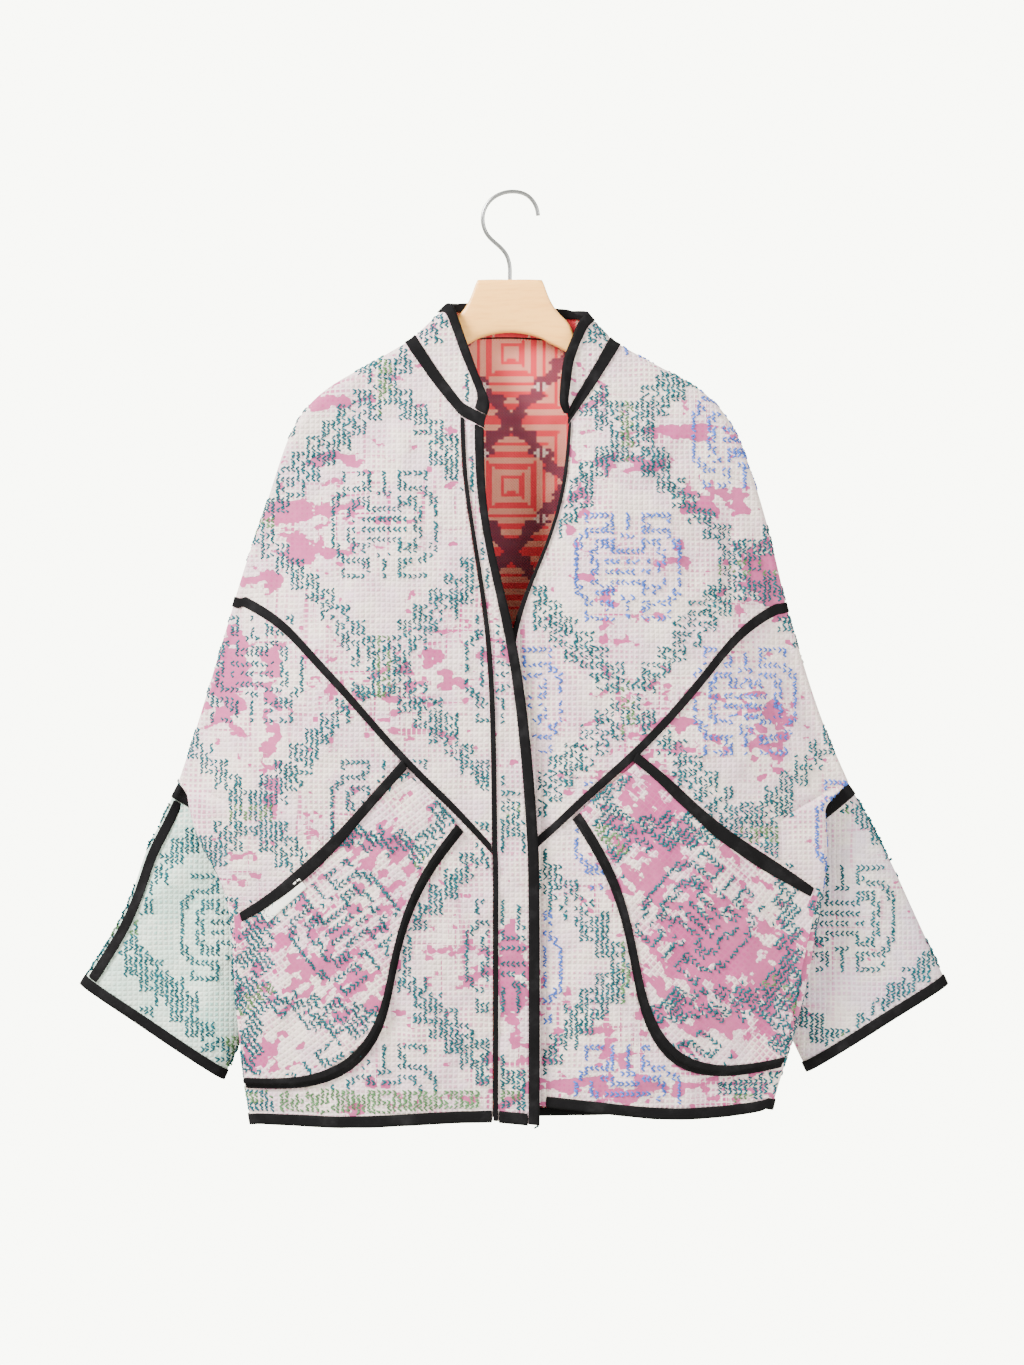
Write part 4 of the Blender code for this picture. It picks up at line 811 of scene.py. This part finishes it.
def unroll(piece, source, facing, inner):
    """Gives a piece its flat places in metres as a UV map: in the front view, rolled out at the folds."""
    mesh = piece.data
    places, normals = vertex_arrays(mesh)
    corner_vertex = np.empty(len(mesh.loops), np.int64)
    mesh.loops.foreach_get("vertex_index", corner_vertex)
    totals = np.empty(len(mesh.polygons), np.int64)
    mesh.polygons.foreach_get("loop_total", totals)
    turned = np.repeat(inner, totals)
    normal = normals[corner_vertex] * np.where(turned, -1.0, 1.0)[:, None]
    place = places[corner_vertex]
    front = float(facing) if facing else np.where(normal[:, 1] < 0, -1.0, 1.0)
    angle = np.arccos(np.clip(normal[:, 1] * front, -1.0, 1.0))
    out = normal[:, (0, 2)]
    out /= np.maximum(np.linalg.norm(out, axis=1), 1e-6)[:, None]
    radius = RIM_LOW + (RIM_TOP - RIM_LOW) * smooth((place[:, 2] - RIM_CHANGE) / RIM_BLEND)
    more = radius * (angle - np.sin(angle))
    flat = place[:, (0, 2)] + out * more[:, None]
    if source in TURNS:
        low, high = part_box(source)
        c, s = math.cos(TURNS[source]), math.sin(TURNS[source])
        flat = (flat - np.array(((low.x + high.x) / 2, (low.z + high.z) / 2))) @ np.array(((c, -s), (s, c)))
    layer = mesh.uv_layers.new(name="flat")
    layer.data.foreach_set("uv", flat.ravel().astype(np.float32))
    return flat, corner_vertex, turned


def thread_at(i, j, lattice, motif, rng):
    """Colour number of the stitches in one cell of a lattice, or None where the cloth is bare."""
    cx, cz, a, b = lattice
    u, v = cx + i * CELL, cz + j * CELL
    du, dv = (u - cx) / (2 * a), (v - cz) / (2 * b)
    near_u, near_v = abs(du - round(du)) * 2, abs(dv - round(dv)) * 2
    block_u = ((i // BLOCK) * BLOCK + 1) * CELL / (2 * a)
    block_v = ((j // BLOCK) * BLOCK + 1) * CELL / (2 * b)
    ring = (abs(block_u - round(block_u)) + abs(block_v - round(block_v))) * 2 - 1.0
    ragged = rng.random()
    sound = 0.5 + 0.5 * math.sin(u * 61.0 + v * 37.0) * math.sin(u * 23.0 - v * 49.0 + 1.0)
    if HEM_ROWS[0] < u < HEM_ROWS[1] and HEM_ROWS[2] < v < HEM_ROWS[3]:
        return OLIVE if ragged < HEM_SHARE else None
    if abs(ring) * a * b / math.hypot(a, b) < BAND_HALF:
        if min(near_u, near_v) < CROSSING and rng.random() < CROSSING_SHARE:
            return OLIVE
        return TEAL if ragged < BAND_SHARE + BAND_MORE * sound else None
    if near_u + near_v > 1.0:
        inside_u, inside_v = du - math.floor(du) - 0.5, dv - math.floor(dv) - 0.5
    else:
        inside_u, inside_v = du - round(du), dv - round(dv)
    column = len(FRET[0]) - 1 - abs(round(inside_u * 2 * a / CELL))
    row = round(inside_v * 2 * b / (CELL * FRET_STRETCH)) + len(FRET) // 2
    charted = column >= 0 and 0 <= row < len(FRET) and FRET[row][column] == "#"
    return motif if charted and ragged < FRET_SHARE else None


def stitch_points(lattice, low, high, motif, rng):
    """Stitches of a lattice with frets in its diamonds: u, v, angle and colour number."""
    cx, cz = lattice[:2]
    made = []
    for i in range(int((low[0] - cx) / CELL) - 1, int((high[0] - cx) / CELL) + 2):
        for j in range(int((low[1] - cz) / CELL) - 1, int((high[1] - cz) / CELL) + 2):
            number = thread_at(i, j, lattice, motif, rng)
            if number is None:
                continue
            lean = LEAN if j % 2 else -LEAN
            for half in (-1, 1):
                u = cx + i * CELL + rng.uniform(-JITTER_U, JITTER_U)
                v = cz + j * CELL + half * CELL * 0.25 + rng.uniform(-JITTER_V, JITTER_V)
                angle = half * lean + rng.uniform(-LEAN_JITTER, LEAN_JITTER)
                made.append((u, v, angle, number))
    return made


def outer_skin(piece, flats, side):
    """Vertices of a piece's outer skin, or of one side of it, with a search tree of their flat places."""
    flat, corner_vertex, turned = flats
    places, normals = vertex_arrays(piece.data)
    outer = ~turned
    if side:
        outer &= normals[corner_vertex, 1] * side > 0.0
    vertices, first = np.unique(corner_vertex[outer], return_index=True)
    flat_outer = flat[outer][first]
    tree = KDTree(len(vertices))
    for k, (u, v) in enumerate(flat_outer):
        tree.insert((u, v, 0.0), k)
    tree.balance()
    return tree, vertices, flat_outer, places, normals


def ridge(place, normal, along, across, long):
    """Six corners of a thread's ridge."""
    end, half = along * (long / 2), across * (STITCH_WIDE / 2)
    base = place - normal * RIDGE_SUNK
    top = place + normal * STITCH_HIGH
    return (base - end - half * RIDGE_BACK, base - end + half * RIDGE_BACK, base + end + half,
            base + end - half, top - end * RIDGE_TOP, top + end * RIDGE_TOP)


def add_threads(name, rows):
    """One piece of many ridges; a row has its six corners and a colour number."""
    corners = [point for row in rows for point in row[0]]
    faces = []
    numbers = []
    for k, (_, number) in enumerate(rows):
        faces += [tuple(6 * k + corner for corner in face) for face in RIDGE_FACES]
        numbers += [number] * len(RIDGE_FACES)
    mesh = bpy.data.meshes.new(name)
    mesh.from_pydata(corners, [], faces)
    for material in thread_materials():
        mesh.materials.append(material)
    mesh.polygons.foreach_set("material_index", numbers)
    shape = bmesh.new()
    shape.from_mesh(mesh)
    bmesh.ops.recalc_face_normals(shape, faces=shape.faces)
    shape.to_mesh(mesh)
    shape.free()
    mesh.shade_smooth()
    piece = bpy.data.objects.new(name, mesh)
    bpy.context.scene.collection.objects.link(piece)
    declare(piece)


def tape_cover():
    """Tells whether a point of a panel lies under a tape."""
    tapes = [(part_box(name), surface_of(name)) for group in TAPES.values() for name in group]

    def under(place):
        for (low, high), tree in tapes:
            inside = all(low[axis] - TAPE_NEAR < place[axis] < high[axis] + TAPE_NEAR for axis in range(3))
            if inside and tree.find_nearest(place, TAPE_UNDER)[0]:
                return True
        return False

    return under


def pocket_cover():
    """Tells whether a point of the front lies under a pocket."""
    trees = [surface_of(name) for name in TURNS]

    def covered(place):
        return any(seen_in_front(tree, place.x, place.z) for tree in trees)

    return covered


def embroider(source, side, lattice, motif, rng, hidden):
    """Ridges of a lattice and its frets on a panel's outer skin, or on one side of it."""
    piece, flats = MADE[source]
    tree, vertices, flat_outer, places, normals = outer_skin(piece, flats, side)
    low, high = flat_outer.min(axis=0), flat_outer.max(axis=0)
    turn = -TURNS.get(source, 0.0)
    c, s = math.cos(turn), math.sin(turn)
    rows = []
    for u, v, angle, number in stitch_points(lattice, low, high, motif, rng):
        _, k, distance = tree.find((u, v, 0.0))
        if distance > STITCH_REACH:
            continue
        vertex = vertices[k]
        normal = Vector(normals[vertex])
        facing = Vector((0.0, -1.0 if normal.y < 0 else 1.0, 0.0))
        roll = facing.rotation_difference(normal)
        du, dv = u - flat_outer[k][0], v - flat_outer[k][1]
        place = Vector(places[vertex]) + roll @ Vector((du * c + dv * s, 0.0, dv * c - du * s))
        if any(test(place) for test in hidden):
            continue
        along = roll @ Vector((math.cos(angle - turn), 0.0, math.sin(angle - turn)))
        long = sizes().stitch * rng.uniform(*STITCH_LENGTHS)
        rows.append((ridge(place, normal, along, normal.cross(along), long), number))
    return rows


def cloth_finish(kind):
    """Material of a panel: its threads, ground and patch, then bareness, wear and strength of strokes."""
    shades = colours()
    quilted = [tuple(shade) for shade in (shades.cream, shades.lilac, shades.ground, shades.patch)]
    choices = {
        "cloth": (*quilted, 0.0, 0.02, 1.0),
        "mint": (tuple(shades.mint), *MINT_CLOTH, -0.04, -0.10, 0.0),
        "lilac": (*LILAC_CLOTH, tuple(shades.patch), -0.02, -0.06, 0.6),
        "pocket_right": (*quilted, 0.14, 0.07, 0.8),
        "pocket_left": (*quilted, 0.22, 0.08, 0.9),
    }
    return cloth_material("floats_" + kind, *choices[kind])


def declare(piece, source=None):
    """Hides the node that a piece replaces and hangs the piece on the root body."""
    if source:
        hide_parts(source)
    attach(piece, "root")


MADE = {}


def make_panel(source, facing, kind, width, length, area):
    """One cloth panel on its solid's form, with its creases, lining and flat places."""
    piece = fine_copy(source + "_cloth", source, 2 if source == "collar" else 3)
    inner = mark_skins(piece, facing)
    settle(piece, facing)
    piece.data.materials.append(cloth_finish(kind))
    piece.data.materials.append(lining_material())
    MADE[source] = (piece, unroll(piece, source, facing, inner))
    declare(piece, source)


class JACKET_OT_cloth(bpy.types.Operator):
    """Makes the quilted panels of the body, collar, sleeves and pockets"""

    bl_idname = "jacket.cloth"
    bl_label = "Quilted cloth"

    def execute(self, context):
        for row in PANELS:
            make_panel(*row)
        return {"FINISHED"}


class JACKET_OT_threads(bpy.types.Operator):
    """Sews the coloured lattice and frets on the panels"""

    bl_idname = "jacket.threads"
    bl_label = "Coloured stitches"

    def execute(self, context):
        rng = random.Random(THREAD_SEED)
        under, covered = tape_cover(), pocket_cover()
        for name, parts in THREADS.items():
            rows = []
            for source, lattice, motif in parts:
                hidden = (under, covered) if source.startswith("lower_front") else (under,)
                for side in (-1, 1) if source in ROUND else (0,):
                    rows += embroider(source, side, LATTICES[lattice], motif, rng, hidden)
            add_threads(name, rows)
        return {"FINISHED"}


class JACKET_OT_tapes(bpy.types.Operator):
    """Makes the black bias tape on the seams and edges"""

    bl_idname = "jacket.tapes"
    bl_label = "Bias tape"

    def execute(self, context):
        for group, facing in (("front", -1), ("back", 1), ("round", 0)):
            for source in TAPES[group]:
                piece = fine_copy(source + "_bound", source, 2, 0.55)
                if source in OPENINGS:
                    widen(piece, *OPENINGS[source])
                settle(piece, facing)
                if source in BANDS:
                    reach_up(piece, *BANDS[source])
                piece.data.materials.append(tape_material())
                declare(piece, source)
        return {"FINISHED"}


class JACKET_OT_tag(bpy.types.Operator):
    """Makes the blank woven tag on the pocket"""

    bl_idname = "jacket.tag"
    bl_label = "Blank tag"

    def execute(self, context):
        piece = fine_copy("blank_tag", "blank_label", 2, 0.7)
        settle(piece, -1)
        piece.data.materials.append(tag_material())
        declare(piece, "blank_label")
        return {"FINISHED"}


class JACKET_OT_hanger(bpy.types.Operator):
    """Makes the wooden hanger and its wire hook"""

    bl_idname = "jacket.hanger"
    bl_label = "Hanger and hook"

    def execute(self, context):
        wood = fine_copy("beech_hanger", "hanger_wood", 2, 0.8)
        wood.data.materials.append(beech_material())
        declare(wood, "hanger_wood")
        hook = fine_copy("satin_hook", "hanger_hook", 2, 0.9)
        hook.data.materials.append(wire_material())
        declare(hook, "hanger_hook")
        return {"FINISHED"}


def make_floor():
    bpy.ops.object.select_all(action="DESELECT")
    bpy.ops.mesh.primitive_circle_add(vertices=64, radius=FLOOR_RADIUS, fill_type="NGON",
                                      location=(0.0, 0.0, FLOOR_HEIGHT))
    floor = bpy.context.object
    floor.name = "floor"
    floor.data.materials.append(floor_material())


def make_surroundings(scene):
    """A plain bright backdrop that lights the jacket less than it shows."""
    scene.world = bpy.data.worlds.new("studio")
    scene.world.use_nodes = True
    tree = scene.world.node_tree
    sky = tree.nodes["Background"]
    seen = node(tree, "ShaderNodeLightPath")
    set_constants(sky, {"Color": SKY})
    link(tree, seen * (BACKDROP - AMBIENT) + AMBIENT, sky, "Strength")


def make_lights(scene):
    for name, (place, size, power) in LIGHTS.items():
        lamp = bpy.data.lights.new(name, "AREA")
        lamp.size = size
        lamp.energy = power
        light = bpy.data.objects.new(name, lamp)
        light.location = place
        light.rotation_euler = (Vector(AIM) - Vector(place)).to_track_quat("-Z", "Y").to_euler()
        scene.collection.objects.link(light)


def make_camera(scene):
    lens = bpy.data.cameras.new("camera")
    lens.lens = CAMERA_LENS
    lens.sensor_width = 36.0
    lens.clip_start = 0.01
    camera = bpy.data.objects.new("camera", lens)
    camera.location = CAMERA_PLACE
    camera.rotation_euler = (math.radians(90), 0.0, 0.0)
    scene.collection.objects.link(camera)
    scene.camera = camera


class JACKET_OT_stage(bpy.types.Operator):
    """Sets the camera, the floor and the soft light"""

    bl_idname = "jacket.stage"
    bl_label = "Stage"

    def execute(self, context):
        make_floor()
        make_surroundings(context.scene)
        make_lights(context.scene)
        make_camera(context.scene)
        return {"FINISHED"}


class JACKET_PT_panel(bpy.types.Panel):
    """Lists the jacket's pieces and settings"""

    bl_idname = "JACKET_PT_panel"
    bl_label = "Jacket"
    bl_space_type = "VIEW_3D"
    bl_region_type = "UI"
    bl_category = "Jacket"

    def draw(self, context):
        layout = self.layout
        for group in (context.scene.jacket_sizes, context.scene.jacket_colours):
            for name in group.__annotations__:
                layout.prop(group, name)
        for operator in OPERATORS:
            layout.operator(operator.bl_idname)


OPERATORS = (
    JACKET_OT_stage,
    JACKET_OT_cloth,
    JACKET_OT_threads,
    JACKET_OT_tapes,
    JACKET_OT_tag,
    JACKET_OT_hanger,
)
CLASSES = (JacketColours, JacketSizes, *OPERATORS, JACKET_PT_panel)


def register():
    for item in CLASSES:
        bpy.utils.register_class(item)
    bpy.types.Scene.jacket_colours = bpy.props.PointerProperty(type=JacketColours)
    bpy.types.Scene.jacket_sizes = bpy.props.PointerProperty(type=JacketSizes)


def unregister():
    del bpy.types.Scene.jacket_sizes
    del bpy.types.Scene.jacket_colours
    for item in reversed(CLASSES):
        bpy.utils.unregister_class(item)


def main():
    register()
    bpy.ops.jacket.stage()
    bpy.ops.jacket.cloth()
    bpy.ops.jacket.threads()
    bpy.ops.jacket.tapes()
    bpy.ops.jacket.tag()
    bpy.ops.jacket.hanger()


if __name__ == "__main__":
    main()
